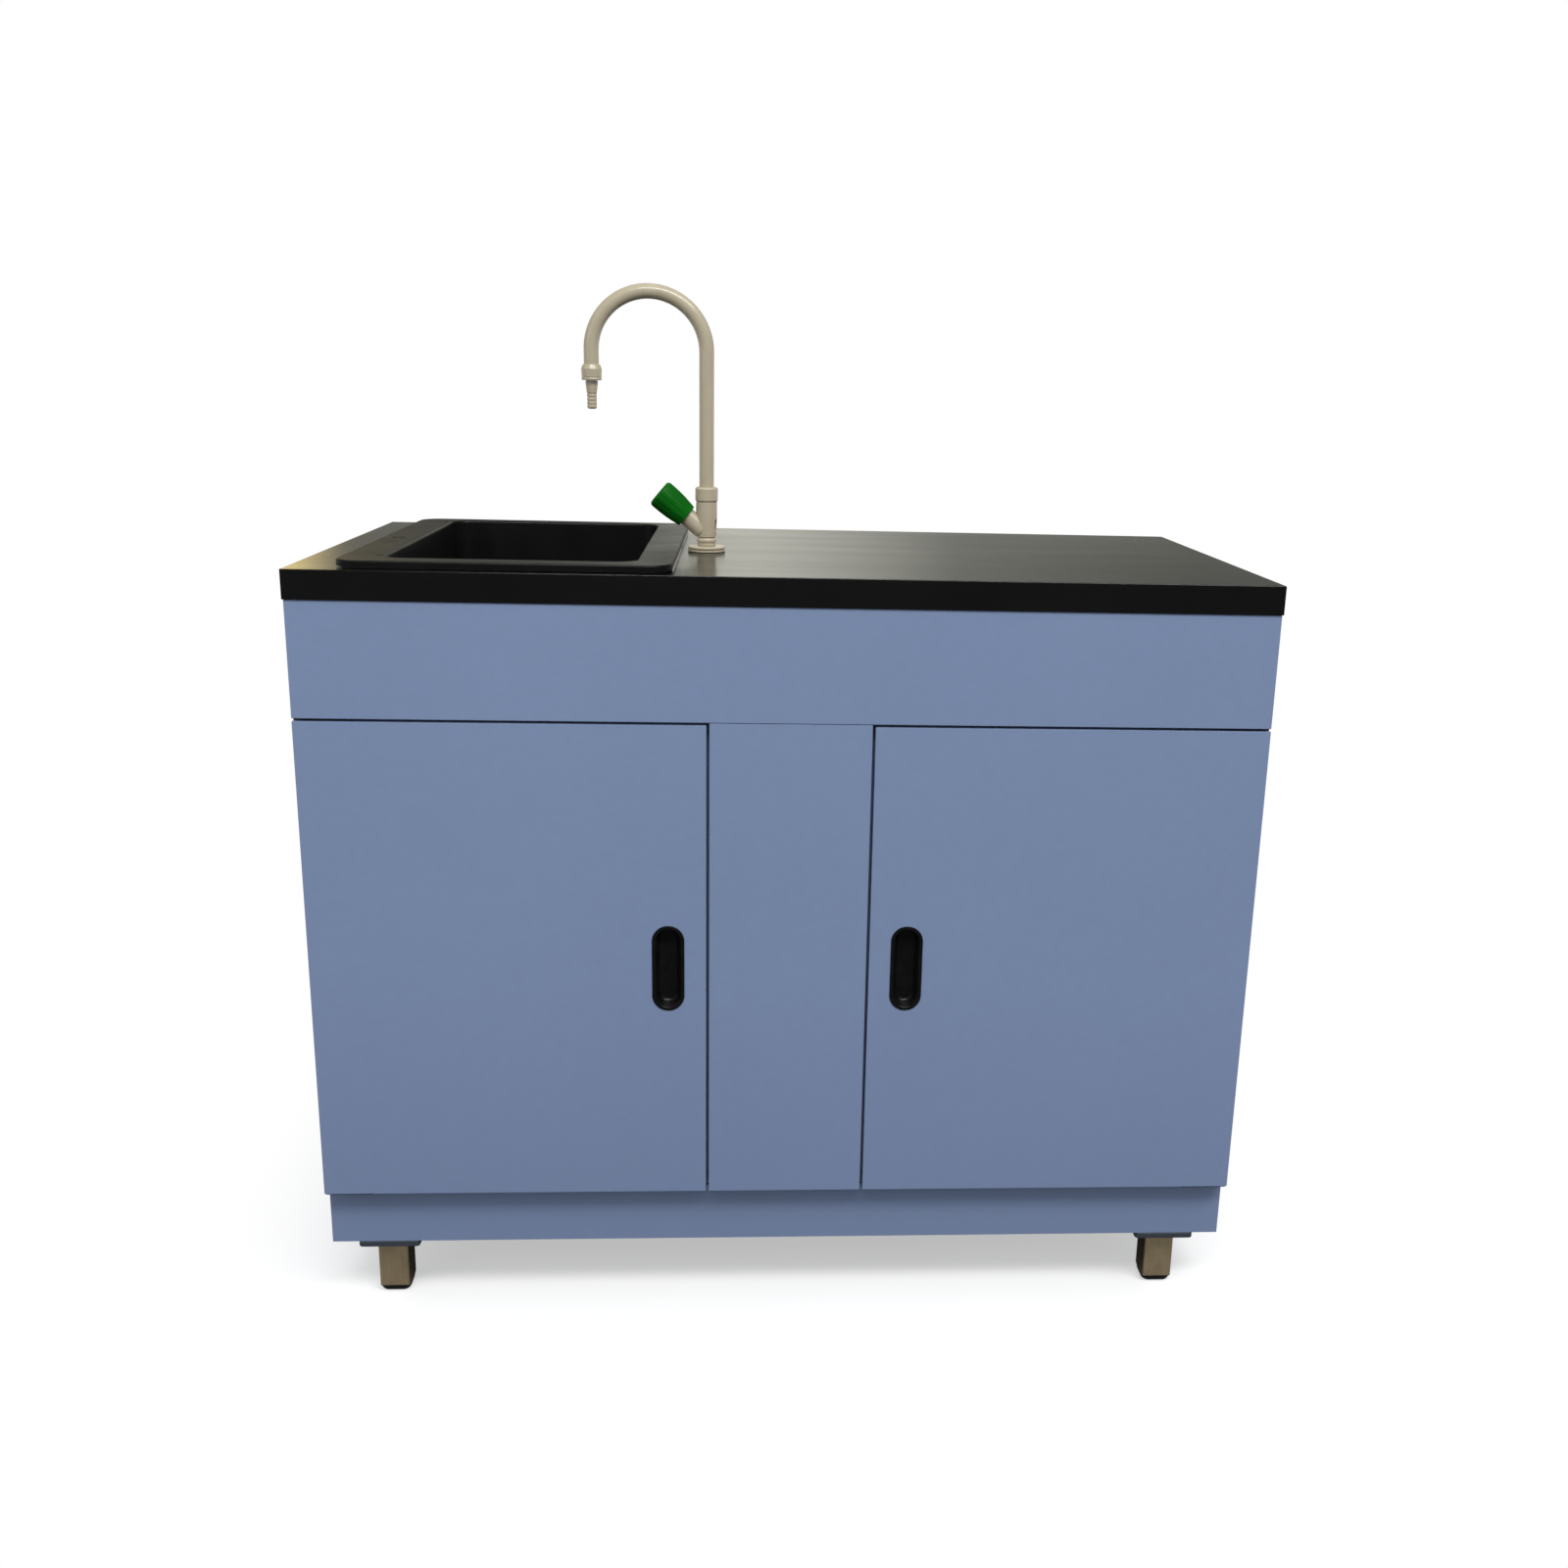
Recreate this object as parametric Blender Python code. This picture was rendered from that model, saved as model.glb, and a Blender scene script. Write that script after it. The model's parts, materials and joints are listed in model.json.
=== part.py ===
"""Laboratory sink bench: a panel carcass on four steel legs, with a drop-in sink, a
swan-neck tap with one valve, and two overlay doors on pivot pins.

Metres, +Z up, the front faces -Y.  The origin is on the floor, under the middle of the
worktop.  A moving piece hangs on an empty that stands on its joint's axis.
"""
import math

import bmesh
import bpy
from mathutils import Euler, Matrix, Vector

# Overall sizes and boards
WORKTOP_WIDTH = 1.200
WORKTOP_DEPTH = 0.600
WORKTOP_THICKNESS = 0.036
BOARD = 0.018
SIDE_OVERHANG = 0.0015
FRONT_OVERHANG = 0.0020
BACK_OVERHANG = 0.0020

# Clearances
SEAT_GAP = 0.0003
PIVOT_RUN_GAP = 0.0005
DOOR_SLOT = 0.0034
DOOR_SWING_CLEARANCE = 0.0032
CENTRE_JOINT = 0.0007

# Heights from the floor up
FOOT_HEIGHT = 0.009
LEG_LENGTH = 0.0705
LEG_PLATE_THICKNESS = 0.008
PLINTH_HEIGHT = 0.0800
DOOR_HEIGHT = 0.630
FASCIA_HEIGHT = 0.1423

# Front
CENTRE_PANEL_WIDTH = 0.200
CENTRE_GAP = 0.0036
PLINTH_SETBACK = 0.0235
HEAD_RAIL_HEIGHT = 0.060

# Legs and feet
LEG_PLATE = 0.080
LEG_TUBE = 0.040
LEG_TUBE_WALL = 0.0015
LEG_INSET = 0.0735
FOOT_PLUG_HEIGHT = 0.020
FOOT_EDGE_RADIUS = 0.003
BATTEN_DEPTH = 0.050

# Door pivots
PIVOT_INSET = 0.007
PIVOT_PIN_RADIUS = 0.0025
PIVOT_PIN_LENGTH = 0.012
PIVOT_PLATE_THICKNESS = 0.002
PIVOT_PLATE_LENGTH = 0.062
PIVOT_PLATE_MARGIN = 0.0055
BUSH_RADIUS = 0.0042
BUSH_LENGTH = 0.014

# Handles and catches
HANDLE_WIDTH = 0.041
HANDLE_LENGTH = 0.1145
HANDLE_LIP = 0.0030
HANDLE_PROUD = 0.0012
HANDLE_DEPTH = 0.0160
HANDLE_WALL = 0.0018
HANDLE_CAVITY_DRAFT = 0.0025
HANDLE_FROM_CENTRE = 0.1515
HANDLE_BELOW_DOOR_TOP = 0.3155
CATCH_WIDTH = 0.014
CATCH_DEPTH = 0.022
CATCH_HEIGHT = 0.046
CATCH_BELOW_DOOR_TOP = 0.040
STRIKE_THICKNESS = 0.0015
STRIKE_MARGIN = 0.0015

# Sink
SINK_CENTRE_X = -0.3445
SINK_FROM_FRONT = 0.010
SINK_RIM_WIDTH = 0.398
SINK_RIM_LENGTH = 0.550
SINK_RIM_THICKNESS = 0.0080
SINK_RIM_CORNER = 0.030
SINK_RIM_ROUND = 0.0020
SINK_LEDGE_LEFT = 0.0515
SINK_LEDGE_RIGHT = 0.044
SINK_LEDGE_FRONT = 0.038
SINK_LEDGE_BACK = 0.026
BASIN_DEPTH = 0.280
BASIN_WALL = 0.005
BASIN_TAPER = 0.008
BASIN_CORNER = 0.026
BASIN_LIP = 0.003
BASIN_FLOOR_ROUND = 0.014
SEAL_THICKNESS = 0.0015
SEAL_INSET = 0.006
CUTOUT_CLEARANCE = 0.004

# Waste and trap
OUTLET_RADIUS = 0.030
WASTE_FLANGE_WIDTH = 0.009
WASTE_FLANGE_THICKNESS = 0.003
WASTE_WALL = 0.0045
WASTE_TAIL = 0.046
WASTE_BAR = 0.0045
WASTE_HOLE_CLEARANCE = 0.001
NUT_WALL = 0.009
NUT_HEIGHT = 0.012
COUPLING_HEIGHT = 0.026
TRAP_NECK = 0.026
TRAP_BODY_HEIGHT = 0.066
TRAP_BODY_RADIUS = 0.041
TRAP_WALL = 0.0035
TRAP_CUP_HEIGHT = 0.075
TRAP_CUP_SOCKET = 0.011
OUTLET_PIPE_RADIUS = 0.020
OUTLET_BRANCH = 0.030
OUTLET_HOLE_CLEARANCE = 0.002

# Tap
TAP_FROM_SINK = 0.0099
TAP_FROM_FRONT = 0.270
TAP_FLANGE_RADIUS = 0.025
TAP_FLANGE_HEIGHT = 0.0075
TAP_FLANGE_EDGE = 0.0010
TAP_RING_RADIUS = 0.0147
TAP_RING_HEIGHT = 0.0120
TAP_RING_BEVEL = 0.0030
TAP_BODY_RADIUS = 0.0141
TAP_BODY_HEIGHT = 0.0465
TAP_BORE = 0.0070
SHANK_RADIUS = 0.0100
SHANK_BELOW = 0.060
SHANK_HOLE_CLEARANCE = 0.0015
BACKNUT_FLAT = 0.0160
TAP_WASHER_RADIUS = 0.0190
WASHER_THICKNESS = 0.003
BACKNUT_HEIGHT = 0.010
COLLAR_RADIUS = 0.0152
COLLAR_HEIGHT = 0.0185
COLLAR_BEVEL = 0.0023
SPOUT_RADIUS = 0.0098
SPOUT_BORE = 0.0080
SPOUT_FOOT_RADIUS = 0.0125
SPOUT_FOOT_HEIGHT = 0.003
SPOUT_WASHER_THICKNESS = 0.0018
SPOUT_REACH = 0.150
SPOUT_RISE = 0.1860
SPOUT_DROP = 0.028
NOZZLE_COLLAR_RADIUS = 0.0136
NOZZLE_COLLAR_HEIGHT = 0.020
NOZZLE_COLLAR_SOCKET = 0.010
NOZZLE_COLLAR_STEP = 0.004
NOZZLE_THROAT = 0.0062
HOSE_NOZZLE_LENGTH = 0.036
HOSE_NOZZLE_TOP_RADIUS = 0.0082
HOSE_NOZZLE_END_RADIUS = 0.0062
HOSE_NOZZLE_BARBS = 4
HOSE_NOZZLE_BORE = 0.0040

# Valve
VALVE_ANGLE = math.radians(40.0)
VALVE_HEIGHT = 0.0238
BRANCH_RADIUS = 0.0126
BRANCH_LENGTH = 0.040
CARTRIDGE_RADIUS = 0.0078
CARTRIDGE_LENGTH = 0.016
SPINDLE_RADIUS = 0.0030
SPINDLE_SOCKET = 0.010
KNOB_START = 0.0350
KNOB_LENGTH = 0.048
KNOB_INNER_RADIUS = 0.0158
KNOB_OUTER_RADIUS = 0.0195
KNOB_SKIRT = 0.012
KNOB_WALL = 0.0025
KNOB_ROUND = 0.0025

# Facets of round work
CORNER_STEPS = 5
FILLET_STEPS = 3
ROUND_SIDES = 24
SMALL_SIDES = 16
ARC_STEPS = 20
SMOOTH_ANGLE = math.radians(35)

# Levels and planes worked out from the sizes above
LEG_TOP = FOOT_HEIGHT + SEAT_GAP + LEG_LENGTH
PLINTH_BOTTOM = LEG_TOP + LEG_PLATE_THICKNESS + SEAT_GAP
DOOR_BOTTOM = PLINTH_BOTTOM + PLINTH_HEIGHT + DOOR_SLOT
DOOR_TOP = DOOR_BOTTOM + DOOR_HEIGHT
FASCIA_BOTTOM = DOOR_TOP + DOOR_SLOT
FASCIA_TOP = FASCIA_BOTTOM + FASCIA_HEIGHT
WORKTOP_BOTTOM = FASCIA_TOP + SEAT_GAP
WORKTOP_TOP = WORKTOP_BOTTOM + WORKTOP_THICKNESS
FRONT_EDGE = -WORKTOP_DEPTH / 2
FRONT = FRONT_EDGE + FRONT_OVERHANG
DOOR_BACK = FRONT + BOARD
CARCASS_FRONT = DOOR_BACK + SEAT_GAP
DOOR_ZONE_FRONT = DOOR_BACK + DOOR_SWING_CLEARANCE
PLINTH_FRONT = FRONT + PLINTH_SETBACK
PLINTH_BACK = PLINTH_FRONT + BOARD
BACK = WORKTOP_DEPTH / 2 - BACK_OVERHANG
BACK_PANEL_FRONT = BACK - BOARD
BODY_HALF = WORKTOP_WIDTH / 2 - SIDE_OVERHANG
INNER_HALF = BODY_HALF - BOARD
FLOOR_TOP = DOOR_BOTTOM + BOARD
CENTRE_HALF = CENTRE_PANEL_WIDTH / 2
PARTITION_X = CENTRE_HALF + CENTRE_GAP / 2
PARTITION_FACE = PARTITION_X + BOARD / 2
DOOR_INNER = CENTRE_HALF + CENTRE_GAP
LEG_X = BODY_HALF - LEG_INSET
LEG_FRONT_Y = PLINTH_FRONT + LEG_PLATE / 2
LEG_BACK_Y = BACK - LEG_PLATE / 2
PIVOT_X = BODY_HALF - PIVOT_INSET
PIVOT_Y = FRONT + BOARD / 2
SINK_Y = FRONT_EDGE + SINK_FROM_FRONT + SINK_RIM_LENGTH / 2
RIM_BOTTOM = WORKTOP_TOP + SEAL_THICKNESS + 2 * SEAT_GAP
RIM_TOP = RIM_BOTTOM + SINK_RIM_THICKNESS
BASIN_FLOOR = RIM_TOP - BASIN_DEPTH
BASIN_UNDERSIDE = BASIN_FLOOR - BASIN_WALL
OPENING_X = SINK_CENTRE_X + (SINK_LEDGE_LEFT - SINK_LEDGE_RIGHT) / 2
OPENING_Y = SINK_Y + (SINK_LEDGE_FRONT - SINK_LEDGE_BACK) / 2
OPENING_HALF_X = (SINK_RIM_WIDTH - SINK_LEDGE_LEFT - SINK_LEDGE_RIGHT) / 2
OPENING_HALF_Y = (SINK_RIM_LENGTH - SINK_LEDGE_FRONT - SINK_LEDGE_BACK) / 2
WASTE_RADIUS = OUTLET_RADIUS - WASTE_HOLE_CLEARANCE
TAIL_END = BASIN_UNDERSIDE - WASTE_TAIL
TRAP_TOP = TAIL_END - SEAT_GAP
TRAP_SHOULDER = TRAP_TOP - TRAP_NECK
TRAP_BODY_END = TRAP_SHOULDER - TRAP_BODY_HEIGHT
BRANCH_Z = TRAP_SHOULDER - TRAP_BODY_HEIGHT / 2
BRANCH_END = OPENING_Y + TRAP_BODY_RADIUS + OUTLET_BRANCH
TAP_X = SINK_CENTRE_X + SINK_RIM_WIDTH / 2 + TAP_FROM_SINK + TAP_FLANGE_RADIUS
TAP_Y = FRONT_EDGE + TAP_FROM_FRONT
TAP_RING_BOTTOM = WORKTOP_TOP + SEAT_GAP + TAP_FLANGE_HEIGHT + SEAT_GAP
TAP_BODY_TOP = TAP_RING_BOTTOM + TAP_RING_HEIGHT + TAP_BODY_HEIGHT
SPOUT_FOOT = TAP_BODY_TOP + SEAT_GAP + SPOUT_WASHER_THICKNESS + SEAT_GAP
SPOUT_ARC_Z = SPOUT_FOOT + SPOUT_FOOT_HEIGHT + SPOUT_RISE
SPOUT_END = SPOUT_ARC_Z - SPOUT_DROP
SPOUT_X = TAP_X - SPOUT_REACH
NOZZLE_LEDGE = SPOUT_END - SEAT_GAP
NOZZLE_COLLAR_BOTTOM = NOZZLE_LEDGE + NOZZLE_COLLAR_SOCKET - NOZZLE_COLLAR_HEIGHT

FINISHES = {
    "blue_laminate": ((0.190, 0.250, 0.380), 0.45, 0.0),
    "black_worktop": ((0.020, 0.020, 0.021), 0.35, 0.0),
    "bare_board": ((0.420, 0.330, 0.220), 0.70, 0.0),
    "black_sink": ((0.016, 0.016, 0.017), 0.30, 0.0),
    "grey_rubber": ((0.120, 0.120, 0.120), 0.80, 0.0),
    "white_pipe": ((0.620, 0.620, 0.600), 0.40, 0.0),
    "cream_coat": ((0.520, 0.470, 0.360), 0.35, 0.0),
    "brass": ((0.560, 0.420, 0.180), 0.30, 1.0),
    "green_plastic": ((0.012, 0.130, 0.016), 0.35, 0.0),
    "stainless": ((0.480, 0.460, 0.420), 0.28, 1.0),
    "zinc_steel": ((0.450, 0.460, 0.470), 0.40, 1.0),
    "black_plastic": ((0.010, 0.010, 0.011), 0.35, 0.0),
    "white_nylon": ((0.700, 0.700, 0.680), 0.45, 0.0),
}


def clear_scene():
    for old in list(bpy.data.objects):
        bpy.data.objects.remove(old, do_unlink=True)


def own_material(name, finish):
    """A Principled material of the piece's own, in one of the finishes above."""
    colour, roughness, metallic = FINISHES[finish]
    made = bpy.data.materials.new(name)
    made.use_nodes = True
    shader = made.node_tree.nodes["Principled BSDF"]
    shader.inputs["Base Color"].default_value = (*colour, 1.0)
    shader.inputs["Roughness"].default_value = roughness
    shader.inputs["Metallic"].default_value = metallic
    return made


def add_object(name, bm, finish, axis=None, smooth=False):
    """Make an object of a bmesh that is in world places, and hang it on its axis empty."""
    bmesh.ops.recalc_face_normals(bm, faces=bm.faces)
    if bm.calc_volume(signed=True) < 0:
        bmesh.ops.reverse_faces(bm, faces=bm.faces)
    mesh = bpy.data.meshes.new(name)
    bm.to_mesh(mesh)
    bm.free()
    if smooth:
        mesh.shade_smooth()
        mesh.set_sharp_from_angle(angle=SMOOTH_ANGLE)
    mesh.materials.append(own_material(name, finish))
    made = bpy.data.objects.new(name, mesh)
    bpy.context.collection.objects.link(made)
    if axis is not None:
        mesh.transform(axis.matrix_basis.inverted())
        made.parent = axis
    return made


def add_cutter(name, bm):
    """A guide body that only cuts or joins other pieces."""
    made = add_object(name, bm, "black_plastic")
    made.hide_render = True
    made.display_type = "WIRE"
    return made


def add_axis(name, place, turn=(0.0, 0.0, 0.0)):
    axis = bpy.data.objects.new(name, None)
    axis.location = place
    axis.rotation_euler = Euler(turn)
    bpy.context.collection.objects.link(axis)
    return axis


def boolean(target, cutter, operation="DIFFERENCE"):
    modifier = target.modifiers.new(cutter.name, "BOOLEAN")
    modifier.object = cutter
    modifier.operation = operation
    modifier.solver = "EXACT"


def block(low, high, bm=None):
    """A box between two corners, in a new bmesh or added to one."""
    bm = bm or bmesh.new()
    low = Vector(low)
    high = Vector(high)
    fit = Matrix.Translation((low + high) / 2) @ Matrix.Diagonal((*(high - low), 1.0))
    bmesh.ops.create_cube(bm, size=1.0, matrix=fit)
    return bm


def rod(start, end, radius, sides=SMALL_SIDES, bm=None):
    """A round bar from one point to another."""
    bm = bm or bmesh.new()
    start = Vector(start)
    along = Vector(end) - start
    turn = along.to_track_quat("Z", "Y").to_matrix().to_4x4()
    bmesh.ops.create_cone(
        bm, cap_ends=True, segments=sides, radius1=radius, radius2=radius, depth=along.length,
        matrix=Matrix.Translation(start + along / 2) @ turn)
    return bm


def prism(outline, shift):
    """A flat outline of points, extruded along a vector."""
    bm = bmesh.new()
    face = bm.faces.new([bm.verts.new(point) for point in outline])
    grown = bmesh.ops.extrude_face_region(bm, geom=[face], use_keep_orig=True)
    moved = [item for item in grown["geom"] if isinstance(item, bmesh.types.BMVert)]
    bmesh.ops.translate(bm, verts=moved, vec=shift)
    return bm


def loft(loops, ring=False):
    """Skin a row of loops with equal counts; the ends are capped, or met when it is a ring."""
    bm = bmesh.new()
    rows = [[bm.verts.new(point) for point in points] for points in loops]
    pairs = list(zip(rows, rows[1:]))
    if ring:
        pairs.append((rows[-1], rows[0]))
    else:
        bm.faces.new(rows[0])
        bm.faces.new(rows[-1])
    for low, high in pairs:
        for i in range(len(low)):
            bm.faces.new((low[i - 1], low[i], high[i], high[i - 1]))
    return bm


def turned(profile, centre, sides=ROUND_SIDES, ring=True):
    """Spin a profile of (radius, height) round the vertical through a centre point."""
    bm = bmesh.new()
    x, y = centre
    verts = [bm.verts.new((x + radius, y, z)) for radius, z in profile]
    edges = [bm.edges.new(pair) for pair in zip(verts, verts[1:])]
    if ring:
        edges.append(bm.edges.new((verts[-1], verts[0])))
    bmesh.ops.spin(
        bm, geom=verts + edges, cent=(x, y, 0.0), axis=(0.0, 0.0, 1.0), angle=math.tau,
        steps=sides, use_merge=True)
    bmesh.ops.remove_doubles(bm, verts=bm.verts, dist=1e-6)
    return bm


def tube_ring(inner, outer, low, high, centre, sides=ROUND_SIDES):
    """A plain washer, nut or pipe stub."""
    return turned([(outer, high), (outer, low), (inner, low), (inner, high)], centre, sides)


def hex_nut(bore, flat, low, high, centre):
    """A nut with six flats, each at a distance from the axis, and a round bore."""
    def loop(radius, z, flats):
        points = []
        for i in range(ROUND_SIDES):
            angle = math.tau * i / ROUND_SIDES
            off_flat = angle % math.radians(60) - math.radians(30)
            out = radius / math.cos(off_flat) if flats else radius
            points.append((centre[0] + out * math.cos(angle), centre[1] + out * math.sin(angle), z))
        return points

    return loft([loop(flat, low, True), loop(flat, high, True), loop(bore, high, False),
                 loop(bore, low, False)], ring=True)


def round_rect(centre, half, corner, z):
    """Points of a rectangle with round corners, at a height."""
    points = []
    for quarter in range(4):
        sign_x = (1, -1, -1, 1)[quarter]
        sign_y = (1, 1, -1, -1)[quarter]
        hub_x = centre[0] + sign_x * (half[0] - corner)
        hub_y = centre[1] + sign_y * (half[1] - corner)
        for step in range(CORNER_STEPS + 1):
            angle = math.radians(90) * (quarter + step / CORNER_STEPS)
            points.append((hub_x + corner * math.cos(angle), hub_y + corner * math.sin(angle), z))
    return points


def square(centre, half, z):
    x, y = centre
    return [(x + half, y + half, z), (x - half, y + half, z),
            (x - half, y - half, z), (x + half, y - half, z)]


def capsule(centre_x, centre_z, width, length, y):
    """Upright outline with round ends, in the plane of the front at depth y."""
    radius = width / 2
    reach = length / 2 - radius
    points = []
    for end in (1, -1):
        for step in range(2 * CORNER_STEPS + 1):
            angle = math.pi * step / (2 * CORNER_STEPS) + (0.0 if end > 0 else math.pi)
            points.append((centre_x + radius * math.cos(angle), y,
                           centre_z + end * reach + radius * math.sin(angle)))
    return points


def build_carcass():
    """Side panels, floor, back, partitions, rail, battens and the boards of the front."""
    outline = [
        (BACK, PLINTH_BOTTOM), (BACK, FASCIA_TOP), (CARCASS_FRONT, FASCIA_TOP),
        (CARCASS_FRONT, FASCIA_BOTTOM), (DOOR_ZONE_FRONT, FASCIA_BOTTOM),
        (DOOR_ZONE_FRONT, DOOR_BOTTOM), (PLINTH_BACK + SEAT_GAP, DOOR_BOTTOM),
        (PLINTH_BACK + SEAT_GAP, PLINTH_BOTTOM)]
    for side, x in (("left", -BODY_HALF), ("right", INNER_HALF)):
        side_panel = prism([(x, y, z) for y, z in outline], (BOARD, 0.0, 0.0))
        add_object(side + "_side_panel", side_panel, "blue_laminate")
    inside = INNER_HALF - SEAT_GAP
    add_object("bottom_panel", block(
        (-inside, DOOR_ZONE_FRONT, DOOR_BOTTOM),
        (inside, BACK_PANEL_FRONT - SEAT_GAP, FLOOR_TOP)), "blue_laminate")
    back = add_object("back_panel", block(
        (-inside, BACK_PANEL_FRONT, PLINTH_BOTTOM), (inside, BACK, FASCIA_TOP)), "blue_laminate")
    add_object("head_rail", block(
        (-inside, CARCASS_FRONT, FASCIA_BOTTOM),
        (inside, CARCASS_FRONT + BOARD, FASCIA_BOTTOM + HEAD_RAIL_HEIGHT)), "bare_board")
    for side, sign in (("left", -1), ("right", 1)):
        middle = sign * PARTITION_X
        add_object(side + "_partition", block(
            (middle - BOARD / 2, CARCASS_FRONT, FLOOR_TOP + SEAT_GAP),
            (middle + BOARD / 2, BACK_PANEL_FRONT - SEAT_GAP, FASCIA_BOTTOM - SEAT_GAP)),
            "blue_laminate")
    add_object("fascia_panel", block(
        (-BODY_HALF, FRONT, FASCIA_BOTTOM), (BODY_HALF, DOOR_BACK, FASCIA_TOP)), "blue_laminate")
    add_object("centre_panel", block(
        (-CENTRE_HALF, FRONT, DOOR_BOTTOM),
        (CENTRE_HALF, DOOR_BACK, FASCIA_BOTTOM - CENTRE_JOINT)), "blue_laminate")
    add_object("plinth_board", block(
        (-BODY_HALF, PLINTH_FRONT, PLINTH_BOTTOM),
        (BODY_HALF, PLINTH_BACK, PLINTH_BOTTOM + PLINTH_HEIGHT)), "blue_laminate")
    for row, near in (("front", PLINTH_BACK + SEAT_GAP),
                      ("back", BACK_PANEL_FRONT - SEAT_GAP - BATTEN_DEPTH)):
        add_object(row + "_batten", block(
            (-inside, near, PLINTH_BOTTOM),
            (inside, near + BATTEN_DEPTH, DOOR_BOTTOM - SEAT_GAP)), "bare_board")
    return back


def build_worktop():
    worktop = add_object("worktop", block(
        (-WORKTOP_WIDTH / 2, FRONT_EDGE, WORKTOP_BOTTOM),
        (WORKTOP_WIDTH / 2, WORKTOP_DEPTH / 2, WORKTOP_TOP)), "black_worktop")
    grow = BASIN_WALL + CUTOUT_CLEARANCE
    half = (OPENING_HALF_X + grow, OPENING_HALF_Y + grow)
    outline = round_rect((OPENING_X, OPENING_Y), half, BASIN_CORNER + grow, WORKTOP_BOTTOM - BOARD)
    cutout = prism(outline, (0.0, 0.0, WORKTOP_THICKNESS + 2 * BOARD))
    rod((TAP_X, TAP_Y, WORKTOP_BOTTOM - BOARD), (TAP_X, TAP_Y, WORKTOP_TOP + BOARD),
        SHANK_RADIUS + SHANK_HOLE_CLEARANCE, ROUND_SIDES, cutout)
    boolean(worktop, add_cutter("worktop_holes", cutout))


def build_legs():
    """Welded plate-and-tube legs under the battens, and their plug feet."""
    outer = LEG_TUBE / 2
    inner = outer - LEG_TUBE_WALL
    plug = inner - SEAT_GAP
    tube_end = FOOT_HEIGHT + SEAT_GAP
    for row, leg_y in (("front", LEG_FRONT_Y), ("back", LEG_BACK_Y)):
        for side, leg_x in (("left", -LEG_X), ("right", LEG_X)):
            centre = (leg_x, leg_y)
            add_object("leg_%s_%s" % (row, side), loft([
                square(centre, inner, LEG_TOP), square(centre, inner, tube_end),
                square(centre, outer, tube_end), square(centre, outer, LEG_TOP),
                square(centre, LEG_PLATE / 2, LEG_TOP),
                square(centre, LEG_PLATE / 2, LEG_TOP + LEG_PLATE_THICKNESS)]), "stainless")
            add_object("foot_%s_%s" % (row, side), loft([
                square(centre, outer - FOOT_EDGE_RADIUS, 0.0), square(centre, outer, FOOT_EDGE_RADIUS),
                square(centre, outer, FOOT_HEIGHT), square(centre, plug, FOOT_HEIGHT),
                square(centre, plug, FOOT_HEIGHT + FOOT_PLUG_HEIGHT)]), "black_plastic")


def build_sink():
    """The moulded basin with its rim, and the seal that it is bedded on."""
    rim_centre = (SINK_CENTRE_X, SINK_Y)
    bowl_centre = (OPENING_X, OPENING_Y)

    def rim(grow, z):
        half = (SINK_RIM_WIDTH / 2 + grow, SINK_RIM_LENGTH / 2 + grow)
        return round_rect(rim_centre, half, SINK_RIM_CORNER + grow, z)

    def bowl(grow, z):
        half = (OPENING_HALF_X + grow, OPENING_HALF_Y + grow)
        return round_rect(bowl_centre, half, BASIN_CORNER + grow, z)

    def outlet(z):
        half = (OUTLET_RADIUS, OUTLET_RADIUS)
        return round_rect(bowl_centre, half, OUTLET_RADIUS - SEAT_GAP, z)

    def rounded_floor(grow, floor):
        turns = [math.radians(90) * step / FILLET_STEPS for step in range(FILLET_STEPS + 1)]
        return [bowl(grow - BASIN_TAPER - BASIN_FLOOR_ROUND * (1 - math.cos(turn)),
                     floor + BASIN_FLOOR_ROUND * (1 - math.sin(turn))) for turn in turns]

    loops = [
        rim(0.0, RIM_BOTTOM), rim(0.0, RIM_TOP - SINK_RIM_ROUND), rim(-SINK_RIM_ROUND, RIM_TOP),
        bowl(BASIN_LIP, RIM_TOP), bowl(0.0, RIM_TOP - BASIN_LIP),
        *rounded_floor(0.0, BASIN_FLOOR), outlet(BASIN_FLOOR), outlet(BASIN_UNDERSIDE),
        *reversed(rounded_floor(BASIN_WALL, BASIN_UNDERSIDE)), bowl(BASIN_WALL, RIM_BOTTOM)]
    add_object("sink_basin", loft(loops, ring=True), "black_sink", smooth=True)
    low = WORKTOP_TOP + SEAT_GAP
    high = low + SEAL_THICKNESS
    hole = BASIN_WALL + CUTOUT_CLEARANCE
    add_object("sink_seal", loft([
        rim(-SEAL_INSET, low), rim(-SEAL_INSET, high), bowl(hole, high), bowl(hole, low)],
        ring=True), "grey_rubber")


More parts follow.
